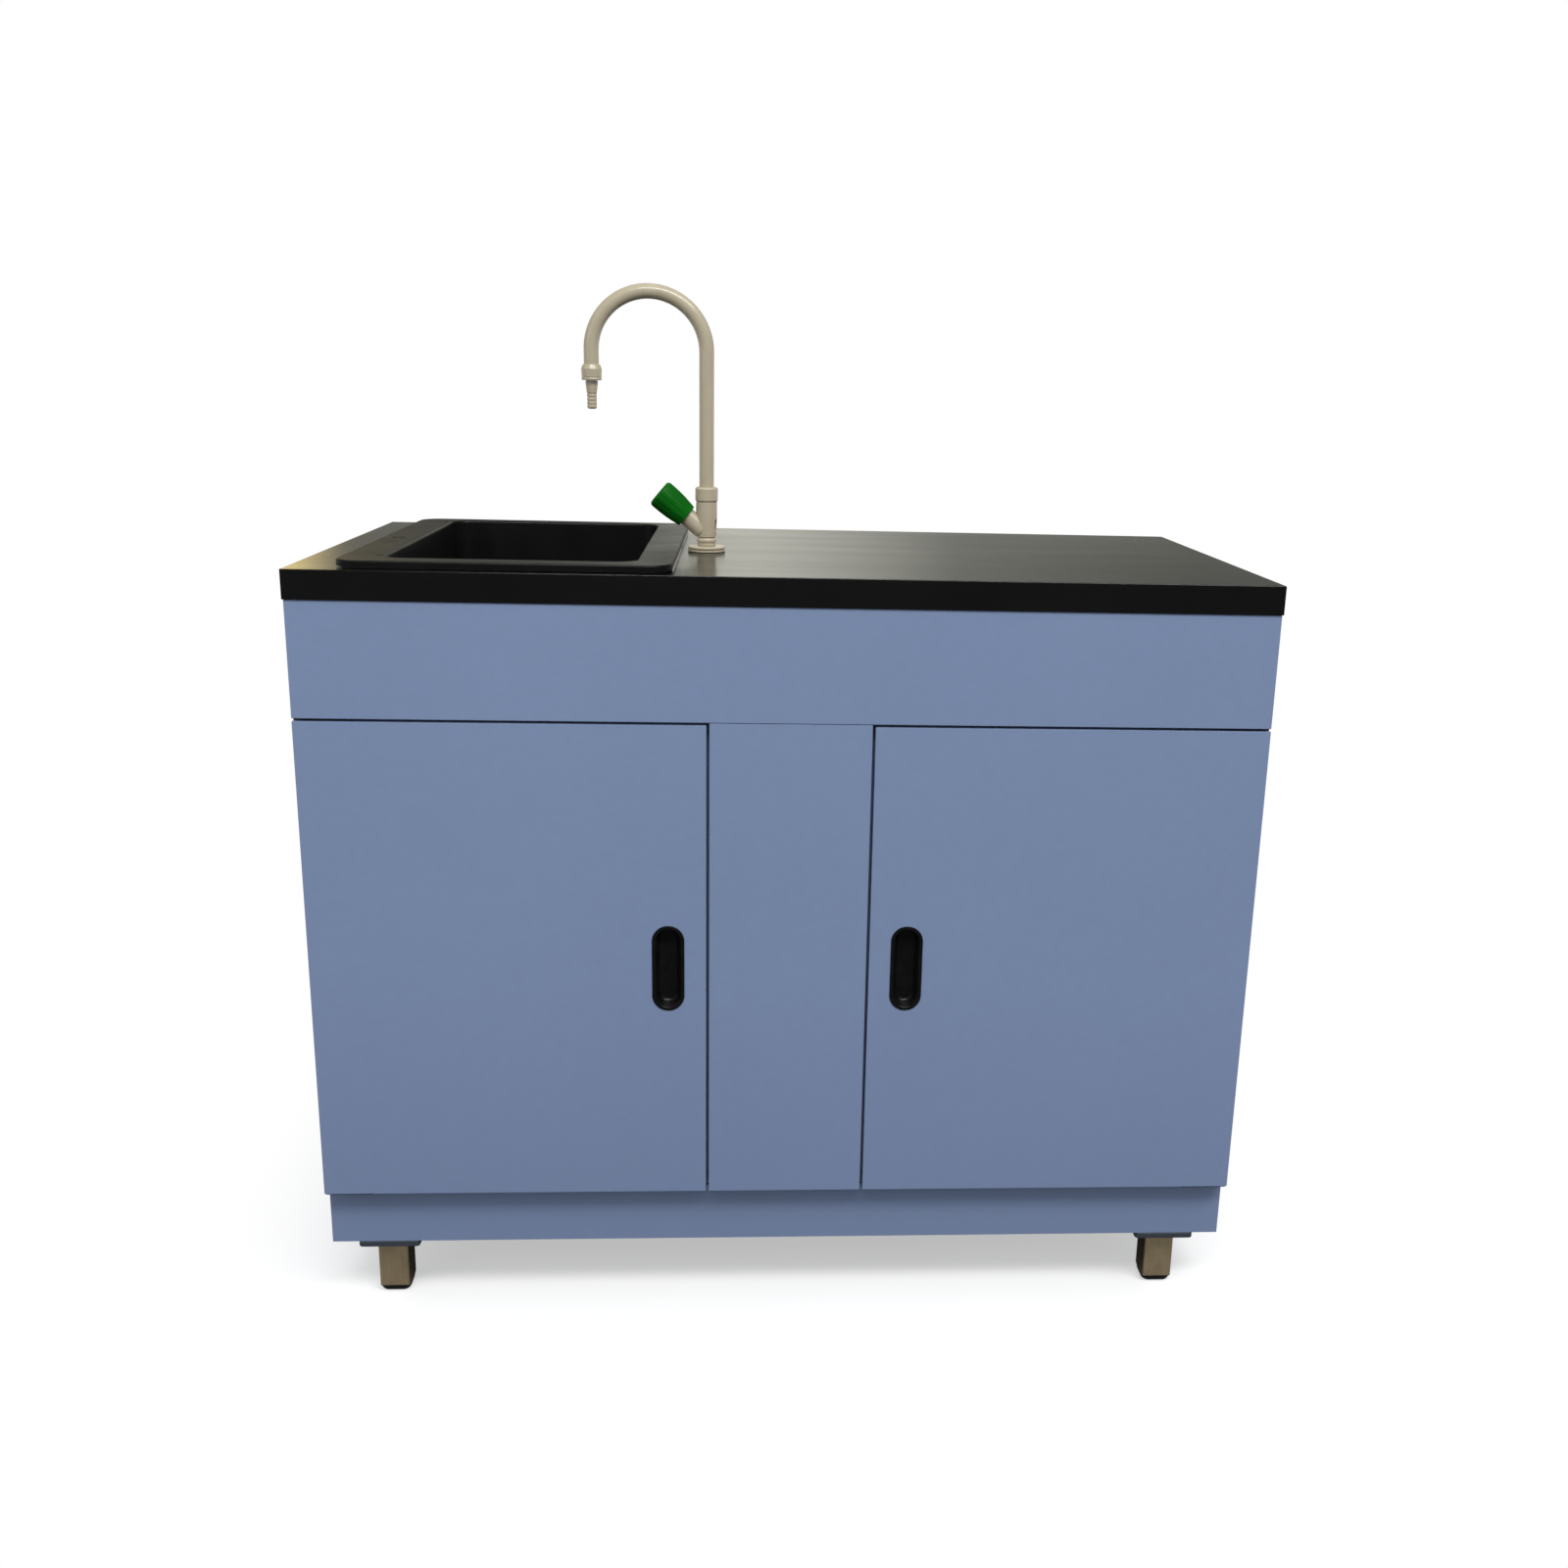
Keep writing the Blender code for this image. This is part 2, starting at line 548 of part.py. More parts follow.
def build_waste(back_panel):
    """Strainer waste and its nut, the bottle trap and the pipe out of the back."""
    centre = (OPENING_X, OPENING_Y)
    seat = BASIN_FLOOR + SEAT_GAP
    lip = seat + WASTE_FLANGE_THICKNESS
    wide = OUTLET_RADIUS + WASTE_FLANGE_WIDTH
    bore = WASTE_RADIUS - WASTE_WALL
    waste = add_object("sink_waste", turned([
        (bore, lip), (wide, lip), (wide, seat), (WASTE_RADIUS, seat), (WASTE_RADIUS, TAIL_END),
        (bore, TAIL_END)], centre), "black_sink", smooth=True)
    bars = bmesh.new()
    reach = bore + WASTE_WALL / 2
    thin = WASTE_BAR / 2
    for half_x, half_y in ((reach, thin), (thin, reach)):
        block((OPENING_X - half_x, OPENING_Y - half_y, seat - WASTE_BAR),
              (OPENING_X + half_x, OPENING_Y + half_y, seat), bars)
    cross = add_cutter("strainer_bars", bars)
    boolean(waste, cross, "UNION")
    nut_top = BASIN_UNDERSIDE - SEAT_GAP
    slip = WASTE_RADIUS + SEAT_GAP
    add_object("waste_nut", tube_ring(slip, slip + NUT_WALL, nut_top - NUT_HEIGHT, nut_top, centre),
               "black_sink")
    middle = TRAP_TOP + SEAT_GAP / 2
    add_object("trap_coupling_nut", tube_ring(
        slip, slip + NUT_WALL, middle - COUPLING_HEIGHT / 2, middle + COUPLING_HEIGHT / 2, centre),
        "white_pipe")
    build_trap(centre, bore)
    build_outlet_pipe(back_panel)


def build_trap(centre, bore):
    inner = TRAP_BODY_RADIUS - TRAP_WALL
    under_shoulder = TRAP_SHOULDER - TRAP_WALL
    trap = add_object("trap_body", turned([
        (bore, TRAP_TOP), (WASTE_RADIUS, TRAP_TOP), (WASTE_RADIUS, TRAP_SHOULDER),
        (TRAP_BODY_RADIUS, TRAP_SHOULDER), (TRAP_BODY_RADIUS, TRAP_BODY_END), (inner, TRAP_BODY_END),
        (inner, under_shoulder), (bore, under_shoulder)], centre), "white_pipe", smooth=True)
    x, y = centre
    wall_middle = y + inner
    branch = add_cutter("trap_branch", rod(
        (x, wall_middle, BRANCH_Z), (x, BRANCH_END, BRANCH_Z), OUTLET_PIPE_RADIUS, ROUND_SIDES))
    boolean(trap, branch, "UNION")
    channel = add_cutter("trap_branch_bore", rod(
        (x, y, BRANCH_Z), (x, BRANCH_END + BOARD, BRANCH_Z),
        OUTLET_PIPE_RADIUS - TRAP_WALL, ROUND_SIDES))
    boolean(trap, channel)
    socket = TRAP_BODY_RADIUS + SEAT_GAP
    ledge = TRAP_BODY_END - SEAT_GAP
    brim = TRAP_BODY_END + TRAP_CUP_SOCKET
    base = ledge - TRAP_CUP_HEIGHT
    add_object("trap_cup", turned([
        (0.0, base), (TRAP_BODY_RADIUS, base), (TRAP_BODY_RADIUS, ledge - TRAP_WALL),
        (socket + TRAP_WALL, ledge), (socket + TRAP_WALL, brim), (socket, brim), (socket, ledge),
        (inner, ledge), (inner, base + TRAP_WALL), (0.0, base + TRAP_WALL)], centre, ring=False),
        "white_pipe", smooth=True)


def build_outlet_pipe(back_panel):
    """Straight pipe from the trap's branch through the back panel, and its coupling nut."""
    start = (OPENING_X, BRANCH_END + SEAT_GAP, BRANCH_Z)
    stop = (OPENING_X, BACK, BRANCH_Z)
    past = (OPENING_X, BACK + BOARD, BRANCH_Z)
    pipe = add_object("outlet_pipe", rod(start, stop, OUTLET_PIPE_RADIUS, ROUND_SIDES),
                      "white_pipe", smooth=True)
    bore_start = (OPENING_X, BRANCH_END - BOARD, BRANCH_Z)
    boolean(pipe, add_cutter("outlet_pipe_bore", rod(
        bore_start, past, OUTLET_PIPE_RADIUS - TRAP_WALL, ROUND_SIDES)))
    boolean(back_panel, add_cutter("outlet_pipe_hole", rod(
        (OPENING_X, BACK_PANEL_FRONT - BOARD, BRANCH_Z), past,
        OUTLET_PIPE_RADIUS + OUTLET_HOLE_CLEARANCE, ROUND_SIDES)))
    half = COUPLING_HEIGHT / 2
    slip = OUTLET_PIPE_RADIUS + SEAT_GAP
    nut = tube_ring(slip, slip + NUT_WALL / 2, -half, half, (0.0, 0.0))
    bmesh.ops.rotate(nut, verts=nut.verts, matrix=Matrix.Rotation(math.radians(90), 3, "X"))
    bmesh.ops.translate(nut, verts=nut.verts, vec=(OPENING_X, BRANCH_END, BRANCH_Z))
    add_object("outlet_coupling_nut", nut, "white_pipe")


def build_tap():
    """Flange, Y-shaped body, shank with its nut, and the collar that holds the spout."""
    centre = (TAP_X, TAP_Y)
    slip = SHANK_RADIUS + SEAT_GAP
    foot = WORKTOP_TOP + SEAT_GAP
    crown = foot + TAP_FLANGE_HEIGHT
    edge = TAP_FLANGE_EDGE
    add_object("tap_flange", turned([
        (slip, crown), (TAP_RING_RADIUS, crown), (TAP_FLANGE_RADIUS - edge, crown - edge),
        (TAP_FLANGE_RADIUS, crown - 2 * edge), (TAP_FLANGE_RADIUS, foot), (slip, foot)], centre),
        "cream_coat", smooth=True)
    bead = TAP_RING_BEVEL
    ring_top = TAP_RING_BOTTOM + TAP_RING_HEIGHT
    body = add_object("tap_body", turned([
        (TAP_BORE, TAP_BODY_TOP), (TAP_BODY_RADIUS, TAP_BODY_TOP), (TAP_BODY_RADIUS, ring_top),
        (TAP_RING_RADIUS, ring_top - bead), (TAP_RING_RADIUS, TAP_RING_BOTTOM + bead),
        (TAP_BODY_RADIUS, TAP_RING_BOTTOM), (TAP_BORE, TAP_RING_BOTTOM)], centre),
        "cream_coat", smooth=True)
    join = Vector((TAP_X, TAP_Y, WORKTOP_TOP + VALVE_HEIGHT))
    along = Vector((-math.cos(VALVE_ANGLE), 0.0, math.sin(VALVE_ANGLE)))
    inside_wall = (TAP_BORE + TAP_BODY_RADIUS) / 2
    branch_start = join + along * inside_wall
    branch_end = join + along * BRANCH_LENGTH
    branch = add_cutter("valve_branch", rod(branch_start, branch_end, BRANCH_RADIUS, ROUND_SIDES))
    boolean(body, branch, "UNION")
    pocket = add_cutter("valve_pocket", rod(
        join, join + along * (BRANCH_LENGTH + BOARD), CARTRIDGE_RADIUS + SEAT_GAP, ROUND_SIDES))
    boolean(body, pocket)
    main_bore = add_cutter("tap_main_bore", rod(
        (TAP_X, TAP_Y, TAP_RING_BOTTOM - BOARD), (TAP_X, TAP_Y, TAP_BODY_TOP + BOARD),
        TAP_BORE, ROUND_SIDES))
    boolean(body, main_bore)
    shank_top = TAP_RING_BOTTOM - SEAT_GAP
    shank_end = WORKTOP_BOTTOM - SHANK_BELOW
    add_object("tap_shank", tube_ring(
        TAP_BORE, SHANK_RADIUS, shank_end, shank_top, centre), "brass", smooth=True)
    washer_top = WORKTOP_BOTTOM - SEAT_GAP
    washer_low = washer_top - WASHER_THICKNESS
    nut_top = washer_low - SEAT_GAP
    add_object("tap_washer", tube_ring(slip, TAP_WASHER_RADIUS, washer_low, washer_top, centre),
               "grey_rubber")
    add_object("tap_backnut", hex_nut(
        slip, BACKNUT_FLAT, nut_top - BACKNUT_HEIGHT, nut_top, centre), "brass")
    washer = TAP_BODY_TOP + SEAT_GAP
    add_object("spout_washer", tube_ring(
        TAP_BORE, SPOUT_FOOT_RADIUS, washer, washer + SPOUT_WASHER_THICKNESS, centre, SMALL_SIDES),
        "grey_rubber")
    collar_top = washer + COLLAR_HEIGHT
    wide = SPOUT_FOOT_RADIUS + SEAT_GAP
    neck = SPOUT_RADIUS + SEAT_GAP
    ledge = SPOUT_FOOT + SPOUT_FOOT_HEIGHT + SEAT_GAP
    bevel = COLLAR_BEVEL
    add_object("swivel_collar", turned([
        (neck, collar_top), (COLLAR_RADIUS - bevel, collar_top), (COLLAR_RADIUS, collar_top - bevel),
        (COLLAR_RADIUS, washer), (wide, washer), (wide, ledge), (neck, ledge)], centre),
        "cream_coat", smooth=True)


def upright_ring(x, z, radius, tilt):
    """A circle of tube points, square to a path that has turned by tilt towards -X."""
    points = []
    for i in range(SMALL_SIDES):
        angle = math.tau * i / SMALL_SIDES
        out = radius * math.cos(angle)
        across = radius * math.sin(angle)
        points.append((x + out * math.cos(tilt), TAP_Y + across, z + out * math.sin(tilt)))
    return points


def build_spout():
    """The swan neck that swivels in the collar, its collar and its hose nozzle."""
    axis = add_axis("spout_axis", (TAP_X, TAP_Y, TAP_BODY_TOP))
    bend = SPOUT_REACH / 2
    foot_top = SPOUT_FOOT + SPOUT_FOOT_HEIGHT
    path = [(TAP_X, SPOUT_FOOT, 0.0), (TAP_X, foot_top, 0.0)]
    for step in range(ARC_STEPS + 1):
        turn = math.pi * step / ARC_STEPS
        path.append((TAP_X - bend + bend * math.cos(turn), SPOUT_ARC_Z + bend * math.sin(turn), turn))
    path.append((SPOUT_X, SPOUT_END, math.pi))
    outer = [upright_ring(x, z, SPOUT_RADIUS, turn) for x, z, turn in path[1:]]
    foot = [upright_ring(TAP_X, z, SPOUT_FOOT_RADIUS, 0.0) for z in (SPOUT_FOOT, foot_top)]
    inner = [upright_ring(x, z, SPOUT_BORE, turn) for x, z, turn in reversed(path)]
    add_object("gooseneck", loft(foot + outer + inner, ring=True), "cream_coat", axis, smooth=True)
    end = (SPOUT_X, TAP_Y)
    slip = SPOUT_RADIUS + SEAT_GAP
    collar_top = NOZZLE_LEDGE + NOZZLE_COLLAR_SOCKET
    step = NOZZLE_COLLAR_STEP
    waist = (slip + NOZZLE_COLLAR_RADIUS) / 2
    add_object("nozzle_collar", turned([
        (slip, collar_top), (waist, collar_top), (NOZZLE_COLLAR_RADIUS, collar_top - step),
        (NOZZLE_COLLAR_RADIUS, collar_top - 3 * step), (waist, collar_top - 3 * step),
        (waist, NOZZLE_COLLAR_BOTTOM), (NOZZLE_THROAT, NOZZLE_COLLAR_BOTTOM),
        (NOZZLE_THROAT, NOZZLE_LEDGE), (slip, NOZZLE_LEDGE)], end, SMALL_SIDES),
        "cream_coat", axis, smooth=True)
    top = NOZZLE_COLLAR_BOTTOM - SEAT_GAP
    pitch = HOSE_NOZZLE_LENGTH / (HOSE_NOZZLE_BARBS + 1)
    slim = (HOSE_NOZZLE_TOP_RADIUS - HOSE_NOZZLE_END_RADIUS) / HOSE_NOZZLE_BARBS
    profile = [(HOSE_NOZZLE_BORE, top), (HOSE_NOZZLE_TOP_RADIUS, top)]
    for barb in range(HOSE_NOZZLE_BARBS):
        low = top - (barb + 1) * pitch
        profile.append((HOSE_NOZZLE_TOP_RADIUS - barb * slim, low))
        profile.append((HOSE_NOZZLE_END_RADIUS, low))
    profile.append((HOSE_NOZZLE_END_RADIUS, top - HOSE_NOZZLE_LENGTH))
    profile.append((HOSE_NOZZLE_BORE, top - HOSE_NOZZLE_LENGTH))
    add_object("hose_nozzle", turned(profile, end, SMALL_SIDES), "cream_coat", axis)


def build_valve():
    """Cartridge in the branch, and the knob that turns with its spindle."""
    join = Vector((TAP_X, TAP_Y, WORKTOP_TOP + VALVE_HEIGHT))
    tilt = VALVE_ANGLE - math.radians(90)
    axis = add_axis("valve_axis", join, (0.0, tilt, 0.0))
    fixed = add_axis("cartridge_axis", join, (0.0, tilt, 0.0))
    spot = (0.0, 0.0)
    cartridge_low = BRANCH_LENGTH - CARTRIDGE_LENGTH
    hole = SPINDLE_RADIUS + SEAT_GAP
    hole_low = BRANCH_LENGTH - SPINDLE_SOCKET
    add_along(turned([
        (0.0, cartridge_low), (CARTRIDGE_RADIUS, cartridge_low), (CARTRIDGE_RADIUS, BRANCH_LENGTH),
        (hole, BRANCH_LENGTH), (hole, hole_low), (0.0, hole_low)], spot, SMALL_SIDES, ring=False),
        "valve_cartridge", "brass", fixed)
    roof = BRANCH_LENGTH + SEAT_GAP
    knob_end = KNOB_START + KNOB_LENGTH
    socket_end = roof + SPINDLE_SOCKET
    add_along(turned([
        (0.0, hole_low + SEAT_GAP), (SPINDLE_RADIUS, hole_low + SEAT_GAP),
        (SPINDLE_RADIUS, socket_end), (0.0, socket_end)], spot, SMALL_SIDES, ring=False),
        "valve_spindle", "brass", axis)
    skirt = max(KNOB_INNER_RADIUS - KNOB_WALL, BRANCH_RADIUS + SEAT_GAP)
    skirt_end = max(KNOB_START + KNOB_SKIRT, roof)
    add_along(turned([
        (skirt, KNOB_START), (skirt + KNOB_WALL, KNOB_START),
        (KNOB_OUTER_RADIUS, knob_end - KNOB_ROUND), (KNOB_OUTER_RADIUS - KNOB_ROUND, knob_end),
        (0.0, knob_end), (0.0, socket_end + SEAT_GAP), (hole, socket_end + SEAT_GAP),
        (hole, roof), (skirt, skirt_end)], spot), "valve_knob", "green_plastic", axis)


def add_along(bm, name, finish, axis):
    """An object that is already drawn along its axis empty's own Z."""
    made = add_object(name, bm, finish, smooth=True)
    made.parent = axis
    return made


def pivot_outline(sign, z):
    """Plan of a pivot plate: a tongue past the door's edge, and a tail inside the side panel."""
    tongue = PIVOT_X + PIVOT_PLATE_MARGIN
    tail = INNER_HALF - SEAT_GAP
    end = BODY_HALF - PIVOT_PLATE_LENGTH
    near = PIVOT_Y - PIVOT_PLATE_MARGIN
    corner = DOOR_ZONE_FRONT - SEAT_GAP
    deep = CARCASS_FRONT + BOARD - SEAT_GAP
    points = [(tongue, near), (tongue, corner), (tail, corner), (tail, deep), (end, deep), (end, near)]
    return [(sign * x, y, z) for x, y in points]


def build_pivots():
    """Pivot plates above and below each door, each with its pin riveted in."""
    for side, sign in (("left", -1), ("right", 1)):
        for level, up in (("bottom", 1), ("top", -1)):
            if up > 0:
                door_edge = DOOR_BOTTOM
                seat = DOOR_BOTTOM - PIVOT_RUN_GAP
            else:
                door_edge = DOOR_TOP
                seat = FASCIA_BOTTOM - SEAT_GAP - PIVOT_PLATE_THICKNESS
            outer = seat - up * PIVOT_PLATE_THICKNESS
            plate = add_object("%s_%s_pivot_plate" % (side, level), prism(
                pivot_outline(sign, outer), (0.0, 0.0, seat - outer)), "zinc_steel")
            pin = rod((sign * PIVOT_X, PIVOT_Y, (seat + outer) / 2),
                      (sign * PIVOT_X, PIVOT_Y, door_edge + up * PIVOT_PIN_LENGTH), PIVOT_PIN_RADIUS)
            boolean(plate, add_cutter("%s_%s_pivot_pin" % (side, level), pin), "UNION")


def build_door(side, sign):
    """A door slab on its pivot axis, with its bushes, flush handle and strike plate."""
    axis = add_axis(side + "_door_axis", (sign * PIVOT_X, PIVOT_Y, DOOR_BOTTOM))
    edges = sorted((sign * DOOR_INNER, sign * BODY_HALF))
    panel = add_object(side + "_door_panel", block(
        (edges[0], FRONT, DOOR_BOTTOM), (edges[1], DOOR_BACK, DOOR_TOP)), "blue_laminate", axis)
    sockets = bmesh.new()
    spot = (sign * PIVOT_X, PIVOT_Y)
    for level, edge, inward in (("bottom", DOOR_BOTTOM, 1), ("top", DOOR_TOP, -1)):
        deep = edge + inward * BUSH_LENGTH
        add_object("%s_%s_bush" % (side, level), tube_ring(
            PIVOT_PIN_RADIUS + SEAT_GAP, BUSH_RADIUS, min(edge, deep), max(edge, deep),
            spot, SMALL_SIDES), "white_nylon", axis, smooth=True)
        rod((*spot, edge - inward * BUSH_LENGTH), (*spot, deep + inward * SEAT_GAP),
            BUSH_RADIUS + SEAT_GAP, SMALL_SIDES, sockets)
    boolean(panel, add_cutter(side + "_bush_sockets", sockets))
    build_handle(side, sign, panel, axis)
    strike_x = sorted((sign * (PARTITION_FACE + STRIKE_MARGIN),
                       sign * (PARTITION_FACE + CATCH_WIDTH - STRIKE_MARGIN)))
    catch_top = DOOR_TOP - CATCH_BELOW_DOOR_TOP
    face = DOOR_BACK + SEAT_GAP
    add_object(side + "_strike_plate", block(
        (strike_x[0], face, catch_top - CATCH_HEIGHT + STRIKE_MARGIN),
        (strike_x[1], face + STRIKE_THICKNESS, catch_top - STRIKE_MARGIN)), "zinc_steel", axis)


def build_handle(side, sign, panel, axis):
    """Flush pull: a capsule cup with a flange, sunk through the door."""
    x = sign * HANDLE_FROM_CENTRE
    z = DOOR_TOP - HANDLE_BELOW_DOOR_TOP
    face = FRONT - HANDLE_PROUD
    deep = FRONT + HANDLE_DEPTH

    def outline(shrink, y):
        return capsule(x, z, HANDLE_WIDTH - 2 * shrink, HANDLE_LENGTH - 2 * shrink, y)

    mouth = HANDLE_LIP + HANDLE_WALL
    cup = loft([
        outline(HANDLE_LIP, deep), outline(HANDLE_LIP, FRONT - SEAT_GAP), outline(0.0, FRONT - SEAT_GAP),
        outline(HANDLE_PROUD / 2, face), outline(mouth, face),
        outline(mouth + HANDLE_CAVITY_DRAFT, deep - HANDLE_WALL)])
    add_object(side + "_handle_cup", cup, "black_plastic", axis, smooth=True)
    edge = HANDLE_LIP - SEAT_GAP
    hole = loft([outline(edge, FRONT - BOARD), outline(edge, DOOR_BACK + BOARD)])
    boolean(panel, add_cutter(side + "_handle_hole", hole))


def build_catch(side, sign):
    """Magnetic catch on the partition, which holds the door shut by its strike plate."""
    front = DOOR_BACK + 2 * SEAT_GAP + STRIKE_THICKNESS
    top = DOOR_TOP - CATCH_BELOW_DOOR_TOP
    span = sorted((sign * (PARTITION_FACE + SEAT_GAP), sign * (PARTITION_FACE + CATCH_WIDTH)))
    add_object(side + "_catch", block(
        (span[0], front, top - CATCH_HEIGHT), (span[1], front + CATCH_DEPTH, top)), "white_nylon")


def main():
    clear_scene()
    back_panel = build_carcass()
    build_worktop()
    build_legs()
    build_sink()
    build_waste(back_panel)
    build_tap()
    build_spout()
    build_valve()
    build_pivots()
    for side, sign in (("left", -1), ("right", 1)):
        build_door(side, sign)
        build_catch(side, sign)


main()
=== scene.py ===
"""Dressing of the laboratory sink bench.

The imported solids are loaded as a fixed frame, and every piece here is drawn over its own
solid: laminated boards, black worktop with a drop-in sink, cream swan-neck tap with a green
valve knob, steel legs, drain and door fittings.  Metres, +Z up, the front faces -Y.
"""
import json
import math

import bmesh
import bpy
from bpy.props import FloatProperty, FloatVectorProperty, PointerProperty
from mathutils import Matrix, Vector, noise

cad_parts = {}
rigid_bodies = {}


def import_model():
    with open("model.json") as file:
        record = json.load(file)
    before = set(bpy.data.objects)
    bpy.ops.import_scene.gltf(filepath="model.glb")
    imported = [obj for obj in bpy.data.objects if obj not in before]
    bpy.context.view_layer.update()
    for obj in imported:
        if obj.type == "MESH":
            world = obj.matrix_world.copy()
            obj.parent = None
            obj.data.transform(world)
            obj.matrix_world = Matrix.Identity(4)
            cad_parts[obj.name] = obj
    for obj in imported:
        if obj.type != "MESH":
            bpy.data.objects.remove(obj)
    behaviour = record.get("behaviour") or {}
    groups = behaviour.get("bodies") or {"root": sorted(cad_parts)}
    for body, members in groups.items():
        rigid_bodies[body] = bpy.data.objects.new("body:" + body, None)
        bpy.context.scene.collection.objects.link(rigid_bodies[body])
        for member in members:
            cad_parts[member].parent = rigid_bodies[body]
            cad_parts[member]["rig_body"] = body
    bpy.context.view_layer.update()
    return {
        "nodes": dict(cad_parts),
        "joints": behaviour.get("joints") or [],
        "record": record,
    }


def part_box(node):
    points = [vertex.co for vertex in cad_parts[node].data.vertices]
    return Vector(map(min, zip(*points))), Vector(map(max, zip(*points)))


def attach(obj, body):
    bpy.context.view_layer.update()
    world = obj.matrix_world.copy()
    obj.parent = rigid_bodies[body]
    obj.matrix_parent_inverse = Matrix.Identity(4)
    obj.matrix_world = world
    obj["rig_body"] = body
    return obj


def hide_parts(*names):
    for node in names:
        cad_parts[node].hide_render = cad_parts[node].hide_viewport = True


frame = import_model()
JOINTS = {joint["name"]: joint for joint in frame["joints"]}
SWIVEL = Vector(JOINTS["spout_swivel"]["pos_m"])
TAP_AXIS = (SWIVEL.x, SWIVEL.y)
VALVE = Vector(JOINTS["knob_turn"]["pos_m"])
VALVE_AXIS = Vector(JOINTS["knob_turn"]["axis"]).normalized()
SLOTS = {part["node"]: part["material_slot"] for part in frame["record"]["subparts"]}
SIDES = {"left": -1, "right": 1}
UP = Vector((0.0, 0.0, 1.0))
BACK = Vector((0.0, 1.0, 0.0))
PAST = 0.01  # how far a cutting shape reaches past a face
PLAY = 0.0003  # room between pieces that fit in each other
PIPE_WALL = 0.0035  # thickness of the trap and the pipe
WHITE = (1.0, 1.0, 1.0, 1.0)

bl_info = {
    "name": "Laboratory sink bench",
    "version": (1, 0, 0),
    "blender": (4, 5, 0),
    "location": "View3D > Sidebar > Bench",
    "description": "Dresses the solids of a laboratory sink bench",
    "category": "Object",
}


def amount(name, description, default, **kind):
    """A number that is never below zero."""
    return FloatProperty(name=name, description=description, default=default, min=0.0, **kind)


def length(name, description, default):
    """A size in metres."""
    return amount(name, description, default, precision=4, unit="LENGTH")


def colour(name, description, default):
    """A linear colour of a finish."""
    return FloatVectorProperty(name=name, description=description, default=default, size=3, min=0.0,
                               max=1.0, subtype="COLOR")


class BoardSizes(bpy.types.PropertyGroup):
    arris: length("Board arris", "Rounding of the edge bands of the blue boards", 0.0009)
    worktop_arris: length("Worktop arris", "Rounding of the worktop's edges", 0.0010)
    cutout_clearance: length("Cut-out clearance", "Room round the basin in the worktop", 0.004)
    tap_hole: length("Tap hole", "Radius of the hole for the tap's shank", 0.0115)
    pipe_hole: length("Pipe hole", "Radius of the hole for the waste pipe in the back", 0.022)


class PullSizes(bpy.types.PropertyGroup):
    lip: length("Lip", "Width of the flange that covers the hole's edge", 0.003)
    proud: length("Proud", "How far the flange stands off the door", 0.0012)
    wall: length("Wall", "Thickness of the cup", 0.0018)
    draft: length("Draft", "How far the cup's sides lean in", 0.0025)
    ease: length("Ease", "Rounding of the cup's mouth", 0.0014)
    sweep: length("Sweep", "Rounding between the cup's sides and floor", 0.006)


class SinkSizes(bpy.types.PropertyGroup):
    rim_thickness: length("Rim thickness", "Height of the rim's edge", 0.008)
    rim_corner: length("Rim corner", "Corner radius of the rim", 0.030)
    rim_round: length("Rim round", "Rounding of the rim's upper edge", 0.0020)
    ledge_left: length("Left ledge", "Width of the rim at the left", 0.0515)
    ledge_right: length("Right ledge", "Width of the rim at the right", 0.044)
    ledge_front: length("Front ledge", "Width of the rim at the front", 0.038)
    ledge_back: length("Back ledge", "Width of the rim at the back", 0.026)
    corner: length("Basin corner", "Corner radius of the basin", 0.026)
    lip: length("Lip", "Rounding of the basin's upper edge", 0.003)
    wall: length("Wall", "Thickness of the basin", 0.005)
    taper: length("Taper", "How far the walls lean in", 0.008)
    floor_round: length("Floor round", "Rounding between walls and floor", 0.014)
    outlet: length("Outlet", "Radius of the hole for the waste", 0.030)
    mark: length("Knock-out", "Radius of the moulded tap-hole mark", 0.0075)
    mark_depth: length("Knock-out depth", "Depth of the moulded marks", 0.0012)
    dimple: length("Dimple", "Radius of the ball that the dimples follow", 0.010)
    bead: length("Sealant", "Width of the bead of sealant beside the rim", 0.0016)


class LegSizes(bpy.types.PropertyGroup):
    tube: length("Tube", "Width of the square tube", 0.040)
    tube_wall: length("Tube wall", "Thickness of the tube", 0.0015)
    tube_corner: length("Tube corner", "Corner radius of the tube", 0.0025)
    plate: length("Plate", "Thickness of the top plate", 0.008)
    weld: length("Weld", "Size of the weld under the plate", 0.0030)
    foot: length("Foot", "Height of the foot under the tube", 0.009)
    foot_round: length("Foot round", "Rounding of the foot's lower edge", 0.0065)


class TapSizes(bpy.types.PropertyGroup):
    bore: length("Bore", "Radius of the water way", 0.007)
    body: length("Body", "Radius of the tap's body", 0.0141)
    ring: length("Bead ring", "Radius of the bead at the body's foot", 0.0131)
    neck: length("Neck", "Radius of the body under its bead", 0.0122)
    branch: length("Branch", "Radius of the valve branch", 0.0122)
    branch_end: length("Branch end", "Length of the valve branch from the tap's axis", 0.040)
    spout: length("Spout", "Radius of the swan neck", 0.0098)
    spout_foot: length("Spout foot", "Radius of the swan neck's foot", 0.0125)
    socket: length("Nozzle socket", "Depth of the collar on the swan neck's end", 0.0097)


